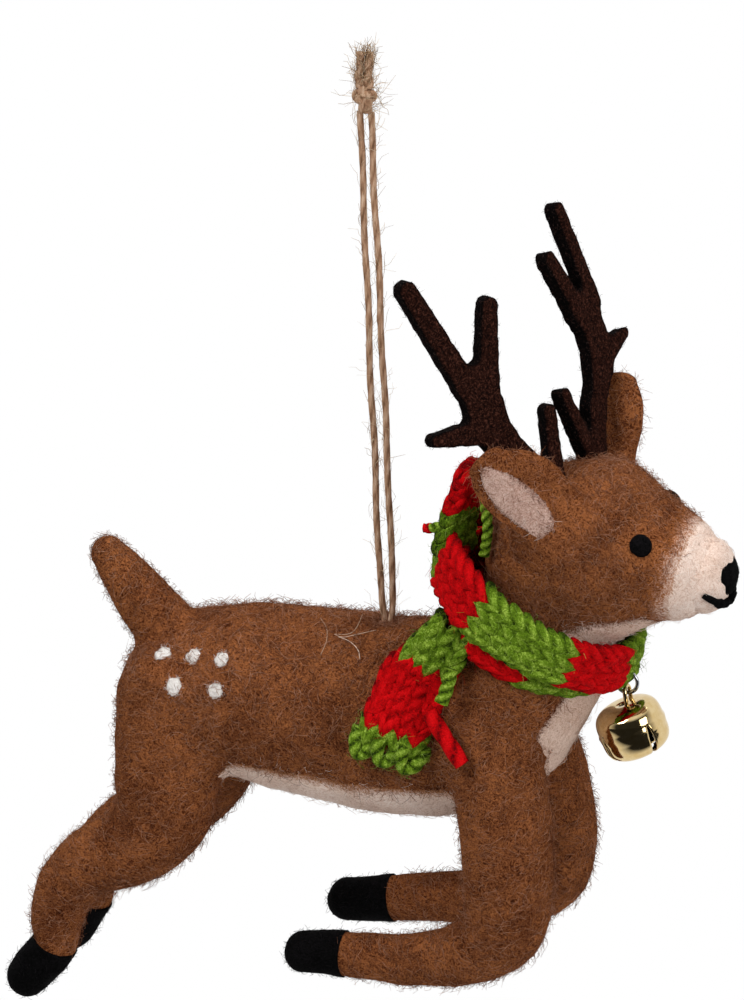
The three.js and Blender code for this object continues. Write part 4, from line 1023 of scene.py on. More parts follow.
turn, lift, roll = (math.radians(angle) for angle in (VIEW_AZIMUTH, VIEW_ELEVATION, VIEW_ROLL))
back = Vector((math.sin(turn) * math.cos(lift), -math.cos(turn) * math.cos(lift), math.sin(lift)))
level = Vector((math.cos(turn), math.sin(turn), 0))
upright = back.cross(level)
right = level * math.cos(roll) - upright * math.sin(roll)
up = level * math.sin(roll) + upright * math.cos(roll)
pixel_m = VIEW_MM_PER_PIXEL * MM
target = right * (-HANG_RIGHT_PIXELS * pixel_m) + up * (-HANG_UP_PIXELS * pixel_m)
target = target + back * Vector(FIGURE_MIDDLE_M).dot(back)
camera_data = bpy.data.cameras.new("camera")
camera = bpy.data.objects.new("camera", camera_data)
bpy.context.scene.collection.objects.link(camera)
camera.matrix_world = Matrix((right, up, back)).transposed().to_4x4()
camera.location = target + back * CAMERA_DISTANCE_M
camera_data.sensor_width = SENSOR_MM
camera_data.lens = SENSOR_MM * CAMERA_DISTANCE_M / (PICTURE_HEIGHT * pixel_m)
camera_data.clip_end = 100
bpy.context.scene.camera = camera

# Twine: two strands of two-ply jute, the knot on top and its frayed ends


def strand_line(side):
    """A strand's middle line from the knot down: half the loop's spread to its side, bowed out by half a
    sine, drawn in where it enters the back, with the slow wander of limp twine."""
    share = np.linspace(0, 1, 60)
    bow = TWINE_BOW * np.sin(np.pi * share)
    spread = (TWINE_SPREAD_TOP + (TWINE_SPREAD_BACK - TWINE_SPREAD_TOP) * share) / 2 + 0.4 * bow
    spread = spread - TWINE_DRAWN_IN * np.clip((share - TWINE_ENTRY) / (1 - TWINE_ENTRY), 0, 1) ** 2
    wander = TWINE_WANDER * np.sin(share * 23 + side)
    height = TWINE_TOP + (TWINE_LOW - TWINE_TOP) * share
    return np.stack([side * spread + wander, side * 0.5 * bow + 0.1 * np.cos(share * 19), height], -1)


def end_line(side, share):
    """A twine end's middle line: up from the knot, leaning forward as a square."""
    return np.stack([side * END_X + 0.5 * share**2, 0.25 * side * share, END_LOW + END_LENGTH * share], -1)


def upright_line(x, span, steps):
    """A straight line up at x, from the lower to the upper end of a span."""
    return np.stack([np.full(steps, x), np.zeros(steps), np.linspace(*span, steps)], -1)


strands = {}
for name, side in (("rear_twine_strand", -1), ("front_twine_strand", 1)):
    shape, groove, even, length = rope(strand_line(side), STRAND_RADIUS, TWINE_PLY_PITCH, 300, groove=0.12,
                                       phase=side)
    strand = make(name + "_jute", shape, JUTE_TWINE, "twine", [name], groove=groove)
    strands[name] = (strand, even, length, shape)
turns = np.linspace(0, 2 * np.pi, 160)
trefoil = np.stack([np.sin(turns) + 2 * np.sin(2 * turns), KNOT_DEPTH * np.sin(3 * turns),
                    np.cos(turns) - 2 * np.cos(2 * turns)], -1)
trefoil = trefoil * KNOT_SCALE + [0, 0, KNOT_Z]
knot_shape, knot_groove, _, _ = rope(trefoil, KNOT_RADIUS, KNOT_PLY_PITCH, 150, groove=0.26)
core_shape, core_groove, _, _ = rope(upright_line(0, KNOT_CORE, 20), KNOT_CORE_RADIUS, KNOT_CORE_PITCH, 20)
knot = make("twine_knot_jute", join(knot_shape, core_shape), JUTE_TWINE, "hanger", ["twine_knot"],
            groove=np.concatenate([knot_groove, core_groove]))
buried = trefoil * ANCHOR_SCALE + [0, 0, ANCHOR_Z - ANCHOR_SCALE[2] * KNOT_Z]
anchor = [rope(buried, ANCHOR_RADIUS, KNOT_PLY_PITCH, 120, groove=0.2)]
for side in (-1, 1):
    stub = upright_line(side * STUB_X, STUB_SPAN, 12)
    anchor.append(rope(stub, STUB_RADIUS, TWINE_PLY_PITCH, 12, groove=0.1, phase=side))
anchor_shapes, anchor_grooves, _, _ = zip(*anchor)
make("twine_anchor_jute", join(*anchor_shapes), JUTE_TWINE, "anchor", ["twine_anchor"],
     groove=np.concatenate(anchor_grooves))
for name, side in (("rear_twine_end", -1), ("front_twine_end", 1)):
    share = np.linspace(0, 1, 24)
    girth = END_RADIUS - END_TAPER * share + 0.12 * np.sin(share * 9 + side)
    shape, groove, _, _ = rope(end_line(side, share), girth, END_PLY_PITCH, 24, groove=0.22, phase=side)
    make(name + "_jute", shape, JUTE_TWINE, "hanger", [name], groove=groove)
    fuzz(name + "_fray", shape[:2], 130, 40 + side, JUTE_HAIR, curve=40.0, length=(1.6, 3.8),
                     rise=0.5, stray=0.12, body="hanger", heading=np.array([0.1, 0, 1.0]),
                     thick=(0.03, 0.055))
for number, (name, (strand, even, length, shape)) in enumerate(strands.items()):
    fuzz(name + "_hairs", shape[:2], 150, 31 + number, JUTE_HAIR, curve=60.0, length=(2, 5),
                       rise=0.5, stray=0.2, body="twine", heading=np.array([0, 0.2, 1.0]),
                       thick=(0.02, 0.045))
knot_hairs = fuzz("twine_knot_fray", knot_shape[:2], 90, 35, JUTE_HAIR, curve=8.0, length=(2, 6), rise=0.8,
                  stray=0.25, body="hanger", thick=(0.022, 0.05))

# Wool forms

torso_form = Form(TORSO_ROWS, TORSO_CAPS)
head_form = Form(HEAD_ROWS, HEAD_CAPS)
tail_form = Form(TAIL_ROWS, TAIL_CAPS)
leg_forms = {
    "right_front": Form(RIGHT_FRONT_LEG_ROWS, LEG_CAPS),
    "left_front": Form(LEFT_FRONT_LEG_ROWS, LEG_CAPS),
    "right_rear": Form(RIGHT_REAR_LEG_ROWS, LEG_CAPS),
    "left_rear": Form(LEFT_REAR_LEG_ROWS, LEG_CAPS),
}
legs = list(leg_forms.values())


def form_shape(form, others, seed, rings, sides, lump=LUMP, first=0.0, last=1.0, grow=0.0, width=FELT_JOIN):
    """A whole wool form, or the part of it between two shares of its skin, closed at both ends."""
    s = np.linspace(max(first, POLE_GAP), min(last, 1 - POLE_GAP), rings)
    points, _ = felt_skin(form, others, *net(s, full_turn(sides)), seed, lump, grow, width)
    return closed_rings(points)


def stuffed(name, shape, nodes, pale=None):
    """A brown wool form. pale is its share of cream wool, or none."""
    pale = np.zeros(len(shape[0])) if pale is None else pale
    piece = make(name, shape, BROWN_FELT, nodes=nodes, pale=pale)


def hump(x, middle, width):
    """A smooth hump of height one: e to the power of minus the square of (x - middle) / width."""
    return np.exp(-(((x - middle) / width) ** 2))


torso_shape = form_shape(torso_form, [head_form, *legs], seed=1, rings=170, sides=132)
hole = np.linalg.norm((torso_shape[0] - [0, 0, HOLE_Z]) * [1, 1, 0.6], axis=1)
torso_shape[0][:, 2] -= HOLE_DEPTH * hump(hole, 0, HOLE_RADIUS)
stuffed("torso_wool", torso_shape, ["torso", "body_core", "front_leg_wire", "rear_leg_wire"])
tail_shape = form_shape(tail_form, [torso_form], seed=2, rings=60, sides=56, width=1.0)
stuffed("tail_wool", tail_shape, ["tail"])

LEG_NODES = {"front": ("upper_leg", "lower_leg"), "rear": ("thigh", "shank")}
HOOF_SHARES = {"front": FRONT_HOOF, "rear": REAR_HOOF}
HOOF_LAP = 0.012
HOOF_GROWTH = 0.3
LEG_SIDES = 64
leg_skins = {}
for number, (name, form) in enumerate(leg_forms.items()):
    pair = name.split("_")[1]
    split = form.share(HOOF_SHARES[pair])
    shape = form_shape(form, [torso_form], 10 + number, 120, LEG_SIDES, last=split + HOOF_LAP)
    stuffed(name + "_leg_wool", shape, [f"{name}_{part}" for part in LEG_NODES[pair]])
    hoof_shape = form_shape(form, [], 10 + number, 40, LEG_SIDES, first=split, grow=HOOF_GROWTH)
    make(name + "_hoof_wool", hoof_shape, BLACK_FELT, nodes=[name + "_hoof"])
    leg_skins[name] = (form, shape, hoof_shape)

# Head, and the muzzle as a layer of pale wool over its front

head_shape = form_shape(head_form, [torso_form], seed=3, rings=130, sides=120, lump=HEAD_LUMP)
above = np.clip((head_shape[0][:, 2] + TWINE_DROP - BROW_Z) / BROW_HEIGHT, 0, 1)
head_shape[0][:, 2] += BROW_RISE * hump(head_shape[0][:, 0], BROW_X, BROW_LENGTH) * above
lean = math.radians(MUZZLE_LEAN)
muzzle_normal = np.array([math.cos(lean), 0, -math.sin(lean)])
muzzle_middle = head_form.at(np.array(0.75))[0]
muzzle_plane = muzzle_normal @ np.array([MUZZLE_X, 0, muzzle_middle[2] - MUZZLE_DROP])


def ahead_of_border(points):
    """Distance of points ahead of the plane where the muzzle's wool begins."""
    return points @ muzzle_normal - muzzle_plane


pale_head = np.clip(0.5 + ahead_of_border(head_shape[0]) / HEAD_FADE, 0, 1)
stuffed("head_wool", head_shape, ["head"], pale_head)

shares = np.linspace(0.3, 1, 240)
angle = full_turn(110)
ahead = ahead_of_border(head_form.skin(*net(shares, angle))[0])
border = shares[np.argmax(ahead > -MUZZLE_LAP, axis=0)]
s = border[None] + (1 - POLE_GAP - border[None]) * np.linspace(0, 1, 70)[:, None]
points, outward = felt_skin(head_form, [], s, np.broadcast_to(angle, s.shape), 3, HEAD_LUMP)
layer = np.clip((ahead_of_border(points) + MUZZLE_LAP) / (2 * MUZZLE_LAP), 0, 1)
points = points + outward * (-MUZZLE_SINK + MUZZLE_RISE * layer * (2 - layer))[..., None]
muzzle_shape = closed_rings(points)
pale_muzzle = np.clip(0.5 + ahead_of_border(muzzle_shape[0]) / MUZZLE_FADE, 0, 1)
make("muzzle_wool", muzzle_shape, CREAM_FELT, nodes=["muzzle"], pale=pale_muzzle)


def pad(centre, outward, across_size, height, seed, rough, rings=18, sides=28, sink=0.0):
    """A small felted pad on a skin: a flattened ball with lumps, its short axis along the outward way."""
    first = unit(np.cross(outward, [0.1, 0.2, 1.0]))
    second = np.cross(outward, first)
    polar, angle = net(np.linspace(0.05, math.pi - 0.05, rings), full_turn(sides))
    wide, long_size = across_size
    ball = np.stack([np.sin(polar) * np.cos(angle), np.sin(polar) * np.sin(angle), -np.cos(polar)], -1)
    ball = ball * (1 + rough * lumps(ball * 3 + seed * 7.3, 1.0, seed)[..., None])
    points = centre + first * ball[..., :1] * wide + second * ball[..., 1:2] * long_size
    return closed_rings(points + outward * (ball[..., 2:] * height - sink))


face_skins = [seen(head_shape), seen(muzzle_shape)]
eye_places = []
for name, side, higher in (("right_eye", -1, 0), ("left_eye", 1, LEFT_EYE_HIGHER)):
    start = (EYE_X, side * BESIDE, EYE_Z + higher - TWINE_DROP)
    place, outward = cast(face_skins, start, -side * Y_WAY)
    shape = pad(place, outward, (EYE_DIAMETER / 2, EYE_DIAMETER / 2), EYE_THICKNESS / 2, seed=5, rough=0.05)
    make(name + "_wool", shape, BLACK_FELT, nodes=[name])
    eye_places.append(place)
snout = head_form.at(np.array(1.0))[0]
nose_centre = snout + [head_form.caps[1] - NOSE_INSET, 0, NOSE_RISE]
nose_shape = pad(nose_centre, X_WAY, NOSE_RADII[1:], NOSE_RADII[0], seed=8, rough=0.07, rings=26, sides=40)
below = np.clip((nose_centre[2] - nose_shape[0][:, 2]) / NOSE_RADII[2], 0, 1)
nose_shape[0][:, 1] *= 1 - NOSE_NARROWING * below
make("nose_wool", nose_shape, BLACK_FELT, nodes=["nose"])


def on_face(y, z):
    """The place just off the face at y and height z."""
    return cast(face_skins, (AHEAD, y, z - TWINE_DROP), -X_WAY)[0] + [MOUTH_LIFT, 0, 0]


smile = [on_face(MOUTH_HALF_WIDTH * part, MOUTH_LOW + MOUTH_RISE * abs(part) ** 3)
         for part in np.linspace(-1, 1, 17)]
lip_height = nose_centre[2] + TWINE_DROP - LIP_UNDER_NOSE - MOUTH_LOW
lip = [on_face(0, MOUTH_LOW + part * lip_height) for part in np.linspace(0, 1, 6)]
share = np.linspace(0, 1, 60)
taper = np.minimum(1, 0.55 + 2.2 * np.minimum(share, 1 - share))
girth = MOUTH_THICKNESS / 2 * taper * (1 + 0.1 * np.sin(np.linspace(0, 40, 60)))
mouth = []
for line in (smile, lip):
    drawn = smooth_line(line, share)[0]
    mouth.append(tubes(drawn[None], np.array([[[0.2, 0.1, 1.0]]]), girth, 9))
make("mouth_line_wool", join(*mouth), BLACK_FELT, nodes=["mouth_line"])

# Ears: leaves with a cupped inner side and a pale lining in the cup


def ear_form(ear):
    """The ear's leaf as a stuffed form with rows straight from root to tip, and the way it faces."""
    root, tip, facing = (np.array(ear[key], float) for key in ("root", "tip", "facing"))
    axis = tip - root
    normal = unit(facing - axis * (facing @ axis) / (axis @ axis))
    rows = [[*(root + axis * share), EAR_WIDTH / 2 * wide, EAR_THICKNESS / 2 * thick]
            for share, wide, thick in EAR_PROFILE]
    return Form(rows, EAR_CAPS, np.cross(unit(axis), normal)), normal


def ear_skin(form, normal, s, angle, seed, swell):
    """The ear's skin, felted into the head, with its inner side cupped as the root of a sine. On the side
    of the forehead it swells by a sine from the root upwards, where its wool is felted up round the
    antler."""
    points, outward = felt_skin(form, [head_form], s, angle, seed, EAR_LUMP, width=EAR_JOIN)
    inner = np.clip(outward @ normal, 0, 1) ** 2
    points = points - normal * (EAR_CUP * inner * np.sin(np.pi * np.clip(s, 0, 1)) ** 0.5)[..., None]
    wide = form.at(np.array(0.5))[2]
    low = np.sin(np.pi * np.clip((s + 0.05) / 0.85, 0, 1))
    return points + wide * (swell * np.clip(np.cos(angle), 0, 1) * low)[..., None]


LINING_NET = (50, 34)
EARS = [("right_ear", RIGHT_EAR, 51, RIGHT_EAR_SWELL), ("left_ear", LEFT_EAR, 55, 0.0)]
ear_skins = {}
for name, ear, seed, swell in EARS:
    form, normal = ear_form(ear)
    s, angle = net(np.linspace(0.006, 0.994, 64), full_turn(56))
    shape = closed_rings(ear_skin(form, normal, s, angle, seed, swell))
    make(name + "_wool", shape, BROWN_FELT, nodes=[name], pale=np.zeros(len(shape[0])))
    along, round_it = net(*(np.linspace(-1, 1, count) for count in LINING_NET))
    leaf = np.sqrt(1 - np.where(along < 0, along**4, np.abs(along) ** 1.6)) * (0.84 - 0.14 * along)
    angle = -np.pi / 2 - LINING_TURN + LINING_HALF_ANGLE * leaf * round_it
    points = ear_skin(form, normal, LINING_MIDDLE + LINING_REACH * along, angle, seed, swell)
    to_border = np.maximum(np.abs(round_it), np.abs(along))
    inside = np.clip(1 - to_border**6, 0, 1)
    upper = points + normal * (LINING_RISE * inside - LINING_SINK)[..., None]
    lower = points - normal * (LINING_DEPTH * inside + LINING_SINK)[..., None]
    lining_shape = two_faces(upper, lower, normal)
    fade = np.clip(1.1 - to_border**3, 0, 1)
    make(name + "_lining_wool", lining_shape, PINK_FELT, nodes=[name + "_lining"],
         pale=np.tile(fade.ravel(), 2))
    front_faces = (LINING_NET[0] - 1) * (LINING_NET[1] - 1)
    ear_skins[name] = (shape, (lining_shape[0], lining_shape[1][:front_faces]))

# Antlers: a plate cut from thick felt


def antler_depth(tines, x, y):
    """Depth inside the cut pattern: the greatest over its tines, each a bar whose width changes evenly,
    with the crotches rounded by a smooth greatest."""
    depth = np.full(x.shape, -50.0)
    for x0, y0, w0, x1, y1, w1 in tines:
        dx, dy = x1 - x0, y1 - y0
        part = np.clip(((x - x0) * dx + (y - y0) * dy) / (dx * dx + dy * dy), 0, 1)
        own = (w0 + (w1 - w0) * part) / 2 - np.hypot(x - x0 - part * dx, y - y0 - part * dy)
        soft = np.maximum(ANTLER_CROTCH - np.abs(depth - own), 0)
        depth = np.maximum(depth, own) + soft * soft / (4 * ANTLER_CROTCH)
    return depth


def antler_plate(tines, step=0.34, strips=4):
    """The plate's points, quads and edge marks: a square net over the pattern whose outer points are drawn
    in to the outline, on both faces, and a rounded wall of strips between the two outlines."""
    x, y = net(np.arange(-9, 25, step), np.arange(-9.5, 44.5, step))
    x = x + 0.12 * lumps(np.stack([x, y, x * 0], -1), 1.1, 71)
    depth = antler_depth(tines, x, y)
    slope = [np.gradient(depth, step, axis=i) for i in (0, 1)]
    size = np.maximum(np.hypot(*slope), 0.3)
    move = np.where(depth < 0, -depth, 0)
    for _ in range(2):
        x, y = x + move * slope[0] / size, y + move * slope[1] / size
        move = np.where(move > 0, -antler_depth(tines, x, y), 0)
    quads = grid_faces(*depth.shape, wrap_columns=False)[:, ::-1]
    quads = quads[(depth.ravel()[quads] > 0).any(1)]
    used, quads = np.unique(quads, return_inverse=True)
    quads = quads.reshape(-1, 4)
    flat = np.stack([x.ravel()[used], y.ravel()[used]], -1)
    inside = np.clip(antler_depth(tines, flat[:, 0], flat[:, 1]), 0, ANTLER_ROUNDING) / ANTLER_ROUNDING
    half = ANTLER_THICKNESS / 2 - ANTLER_EDGE_DROP * (1 - inside) ** 2
    pair = np.concatenate([np.stack([quads[:, i], quads[:, (i + 1) % 4]], -1) for i in range(4)])
    _, first, count = np.unique(np.sort(pair, 1), axis=0, return_index=True, return_counts=True)
    rim_points, rim = np.unique(pair[first[count == 1]], return_inverse=True)
    rim = rim.reshape(-1, 2)
    faces, round_rim = len(flat), len(rim_points)
    heights = np.linspace(1, -1, strips + 1)[1:-1]
    walls = [np.column_stack([flat[rim_points], half[rim_points] * height]) for height in heights]
    between = [2 * faces + i * round_rim + np.arange(round_rim) for i in range(len(heights))]
    levels = [rim_points, *between, rim_points + faces]
    wall_quads = [np.stack([a[rim[:, 1]], a[rim[:, 0]], b[rim[:, 0]], b[rim[:, 1]]], -1)
                  for a, b in zip(levels[:-1], levels[1:])]
    points = np.vstack([np.column_stack([flat, half]), np.column_stack([flat, -half]), *walls])
    # Edge marks for the cut edges' painted shade: the whole wall, and each face where it rounds over into
    # it
    mark = np.concatenate([np.tile(1 - np.clip(inside * 2.2, 0, 1), 2), np.ones(len(heights) * round_rim)])
    return points, np.vstack([quads, quads[:, ::-1] + faces, *wall_quads]), mark


antler_shapes = {}
for name, antler, seed in (("right_antler", RIGHT_ANTLER, 61), ("left_antler", LEFT_ANTLER, 65)):
    plate_points, plate_quads, plate_edge = antler_plate(antler["tines"])
    x_axis = unit(np.array(antler["out"], float))
    z_axis = unit(np.cross(x_axis, np.array(antler["up"], float)))
    y_axis = np.cross(z_axis, x_axis)
    c, s = math.cos(math.radians(antler["splay"])), math.sin(math.radians(antler["splay"]))
    turned = plate_points @ np.array([[c, -s, 0], [s, c, 0], [0, 0, 1.0]])
    root = np.array(antler["root"]) - [0, 0, TWINE_DROP]
    points = root + turned @ np.stack([x_axis, y_axis, z_axis])
    points = points + 0.13 * np.stack([lumps(points, 1.0, seed + i) for i in range(3)], -1)
    antler_shapes[name] = (points, plate_quads, NO_FACES)
    make(name + "_felt", antler_shapes[name], ANTLER_FELT, nodes=[name], edge=plate_edge)

# Pale layers on belly, chest and throat, and white spots on the hips


def layer_patch(form, others, skin_seed, lump, seed, first, last, half_angle, height, rows=90, columns=60):
    """A thin layer of wool laid on a form's underside, and its attribute pale: a lens-shaped area between
    two shares of the skin, thick in its middle and sunk into the skin at its border."""
    along, round_it = net(np.linspace(-1, 1, rows), np.linspace(-1, 1, columns))
    s = (first + last) / 2 + (last - first) / 2 * along
    wave = 1 + 0.025 * lumps(np.stack([along * 6, np.sign(round_it) * 3, along * 0], -1), 1.0, seed)
    lens = np.sqrt(np.clip(1 - np.abs(along) ** 3, 0, 1))
    angle = -np.pi / 2 + half_angle * lens * wave * round_it
    points, outward = felt_skin(form, others, s, angle, skin_seed, lump)
    to_border = np.maximum(np.abs(round_it), np.abs(along))
    inside = np.clip(1 - to_border**5, 0, 1)
    upper = points + outward * (height * inside - 0.3)[..., None]
    lower = points - outward * (0.5 + 0.3 * inside)[..., None]
    fade = np.clip(1.6 * (1 - (to_border / 0.92) ** 4), 0, 1)
    return two_faces(upper, lower, outward[rows // 2, columns // 2]), np.tile(fade.ravel(), 2)


torso_others = [head_form, tail_form, *legs]
torso_skin = (torso_form, torso_others, 1, LUMP)
head_skin = (head_form, [torso_form], 3, HEAD_LUMP)
# Each layer's name, the skin it lies on, its seed, first and last share, half angle, height and finish
PATCHES = [
    ("belly_patch", torso_skin, 81, 0.225, 0.64, 1.2, 0.75, CREAM_FELT),
    # The chest and throat layers wear cream wool darkened as painted shade
    ("chest_patch", torso_skin, 82, 0.47, 0.8, 0.98, 0.8, CHEST_FELT),
    ("throat_patch", head_skin, 83, 0.32, 0.71, 1.0, 0.9, THROAT_FELT),
]
patch_shapes = {}
pale_points = []
for name, skin, seed, first, last, half_angle, height, finish in PATCHES:
    shape, fade = layer_patch(*skin, seed, first, last, half_angle, height)
    make(name + "_wool", shape, finish, nodes=[name], pale=fade)
    patch_shapes[name] = shape
    upper = len(fade) // 2
    pale_points.append(shape[0][:upper][fade[:upper] > 0.75][::4])

for side, way in (("right", -1), ("left", 1)):
    hip_skins = [seen(torso_shape), seen(leg_skins[side + "_rear"][1])]
    spots = []
    for number, (x, z, width) in enumerate(SPOTS):
        place, outward = cast(hip_skins, (x, way * BESIDE, z - TWINE_DROP), -way * Y_WAY)
        size = (width / 2, width / 2 * SPOT_STRETCH)
        shape = pad(place, outward, size, SPOT_HEIGHT, 90 + number, rough=0.2, sink=SPOT_SINK)
        spot = f"{side}_spot_{number + 1}"
        make(spot + "_wool", shape, WHITE_FELT, nodes=[spot])
        spots.append(shape)
    fuzz(side + "_spot_fuzz", join(*spots)[:2], 1100, 95, WHITE_HAIR, curve=2.0, length=(0.4, 1.2),
         rise=0.2, stray=0.1, thick=(0.02, 0.034), steps=4)

# Scarf: plain knitting of plied yarn over a thin backing strip


def knit_lines(courses, wales, length, width):
    """Yarn rows of plain knitting on a flat strip, as distances u along it, v across it and n off it. A row
    runs across the strip; over a stitch v goes on evenly and swings back and forth twice, which makes the
    loop's head wide and its foot narrow, u rises and falls once, by about a course either way, and n lifts
    the loop's legs over the heads of the row below."""
    turn = np.linspace(0, 2 * np.pi * wales, wales * 18 + 1)
    course, wale = length / courses, width / wales
    row = (np.arange(courses) + 0.5)[:, None]
    v = (turn / (2 * np.pi) - wales / 2) * wale - 0.15 * wale * np.sin(2 * turn)
    u = row * course - 0.98 * course * np.cos(turn)
    n = 0.18 + 0.42 * -np.cos(2 * turn) + 0 * row
    return u, np.broadcast_to(v, u.shape), n


def knit(name, place, courses, wales, length, width, stripe_of, seed, finish, body):
    """A knitted face of a strip: yarn rows laid on it by place(u, v, n), each in one colour and a little
    uneven, with painted shade where the yarn dips under the next row."""
    u, v, n = knit_lines(courses, wales, length, width - YARN_DIAMETER * 0.7)
    rng = np.random.default_rng(seed)
    loose = rng.uniform(0, 6, (3, courses, 1))
    u = u + rng.normal(0, 0.1, (courses, 1)) + 0.14 * np.sin(v * 1.3 + loose[0])
    n = n + 0.16 * np.sin(v * 1.1 + loose[1])
    girth = YARN_DIAMETER / 2 * (1 + 0.12 * np.sin(v * 1.7 + loose[2]))
    lines, facing = place(u, v, n)
    shape = tubes(lines, facing, girth, YARN_SIDES, YARN_PLY_PITCH, 0.15)
    steps = lines.shape[1]
    step = np.linalg.norm(np.diff(lines, axis=1), axis=-1).mean()
    # Painted shade where the yarn dips under the next row, added to the ply grooves' painted shade
    dip_shade = 0.75 * np.clip((0.45 - n) / 0.7, 0, 1).ravel() ** 1.5
    groove = 0.7 * groove_of(courses, steps, YARN_SIDES, step, YARN_PLY_PITCH) + np.repeat(dip_shade, YARN_SIDES)
    stripe = np.repeat(stripe_of((np.arange(courses) + 0.5) * length / courses), steps * YARN_SIDES)
    return make(name, shape, finish, body, groove=groove, stripe=stripe.astype(float)), shape, stripe


def backing(name, place, length, width, stripe_of, looped, finish, body, rows=110, columns=14):
    """The strip behind the knitted face: a thin closed band on the same surface, in the same stripes and
    all in painted shade. A band whose volume comes out less than nought is turned the right way out."""
    u = np.linspace(0, length, rows, endpoint=not looped)[:, None]
    v = np.linspace(-width / 2 + BACKING_INSET, width / 2 - BACKING_INSET, columns)
    faces = -BACKING_DEPTH + np.array([BACKING_THICKNESS / 2, -BACKING_THICKNESS / 2])
    u, v, n = np.broadcast_arrays(u, np.concatenate([v, v[::-1]]), np.repeat(faces, columns))
    rings, _ = place(u, v, n)
    stripe = stripe_of(u[:, 0])
    marks = np.repeat(stripe, 2 * columns)
    if looped:
        shape = (rings.reshape(-1, 3), grid_faces(rows, 2 * columns, wrap_rows=True), NO_FACES)
    else:
        shape = closed_rings(rings)
        marks = np.concatenate([marks, stripe[[0, -1]]])
    points, quads, triangles = shape
    a, b, c = (points[quads[:, i]] for i in range(3))
    if np.einsum("ij,ij->i", a, np.cross(b, c)).sum() < 0:
        shape = (points, quads[:, ::-1], triangles[:, ::-1])
    node_name = name.removesuffix("_backing")
    # The whole backing takes full painted shade, as it lies behind the yarn
    groove = np.ones(len(marks))
    return make(name, shape, finish, body, [node_name], groove=groove, stripe=marks.astype(float))


scarf_tilt = math.radians(SCARF_TILT)
front_lean, side_lean, nape_lean = np.radians([SCARF_FRONT_LEAN, SCARF_SIDE_LEAN, SCARF_NAPE_LEAN])
scarf_forward = np.array([math.cos(scarf_tilt), 0, -math.sin(scarf_tilt)])
scarf_centre = np.array([SCARF_X, 0, SCARF_Z - TWINE_DROP])
neck_half = torso_form.at(np.array(NECK_SHARE))[4]


def rounded_edge(v, width):
    """How far a strip's face falls back towards its edges, as a rounded square of power EDGE_ROUNDING."""
    share = np.clip(np.abs(v) / (width / 2), 0, 1)
    return SCARF_THICKNESS / 2 * (1 - (1 - share**EDGE_ROUNDING) ** (1 / EDGE_ROUNDING))


def turn_place(turn, drop):
    """The strip wound round the neck: an ellipse in the scarf's tilted plane, laid out by its own length.
    The strip is narrow and nearly upright at the throat, and leans at the sides, where an inner turn hangs
    lowest. Gives place(u, v, n), the strip's length, and a function from degrees round the neck to u."""
    gap = CLEARANCE + SCARF_THICKNESS / 2 + turn * (SCARF_THICKNESS + CLEARANCE)
    ahead, aside = neck_half[1] + SCARF_SLACK + gap, neck_half[0] + gap
    fine = np.linspace(-np.pi, np.pi, 721)
    travel = travelled(np.stack([ahead * np.cos(fine), aside * np.sin(fine)], -1))

    def place(u, v, n):
        """Points on the strip and the way its face looks there."""
        angle = np.interp(np.mod(u, travel[-1]), travel, fine)[..., None]
        c, s = np.cos(angle), np.sin(angle)
        lean = side_lean + (np.where(c > 0, front_lean, nape_lean) - side_lean) * np.abs(c)
        up = np.concatenate([np.sin(lean), 0 * lean, np.cos(lean)], -1)
        centre = scarf_centre + scarf_forward * ahead * c + Y_WAY * aside * s - up * drop * (1 + s * s) / 2
        outward = unit(np.cross(Y_WAY * aside * c - scarf_forward * ahead * s, up))
        narrow = 1 + (SCARF_FRONT_WIDTH / SCARF_SIDE_WIDTH - 1) * np.clip(c, 0, 1)
        lift = (n - rounded_edge(v, SCARF_SIDE_WIDTH))[..., None]
        return centre + up * v[..., None] * narrow + outward * lift, outward + 0 * lift

    return place, travel[-1], lambda degrees: np.interp(math.radians(degrees), fine, travel)


def path_place(path, width, across, end=1.0, corner=0.0):
    """A strip along a path, with its face on the height side of the path's frame. It narrows evenly to a
    share of its width at its end, and near its start its left side is drawn in to slant a corner. Gives
    place(u, v, n) and the path's length."""
    rows = [[*point, width / 2, SCARF_THICKNESS / 2] for point in path]
    form = Form(rows, (SCARF_THICKNESS / 2, SCARF_THICKNESS / 2), across)

    def place(u, v, n):
        """Points on the strip and the way its face looks there."""
        centre, along, wide, tall, _ = form.at(u / form.length)
        beyond = (u - np.clip(u, 0, form.length))[..., None]
        lift = (n - rounded_edge(v, width))[..., None]
        narrow = 1 + (end - 1) * np.clip(1.5 * u / form.length, 0, 1)
        narrow = narrow - corner * np.where(v < 0, 0.16 + np.clip(1 - u / TAIL_CORNER_LENGTH, 0, 1), 0)
        return centre + along * beyond + wide * (v * narrow)[..., None] + tall * lift, tall + 0 * lift

    return place, form.length


def stripes(*borders):
    """Which colour a place u along the strip has: it changes at each border, and starts with the first."""
    return lambda u: np.searchsorted(borders, u) % 2


def behind(place):
    """The same strip's other side."""

    def other(u, v, n):
        """Points as far behind the backing as they were before it, facing the other way."""
        points, facing = place(u, v, n)
        return points - facing * (2 * n + 2 * BACKING_DEPTH)[..., None], -facing

    return other


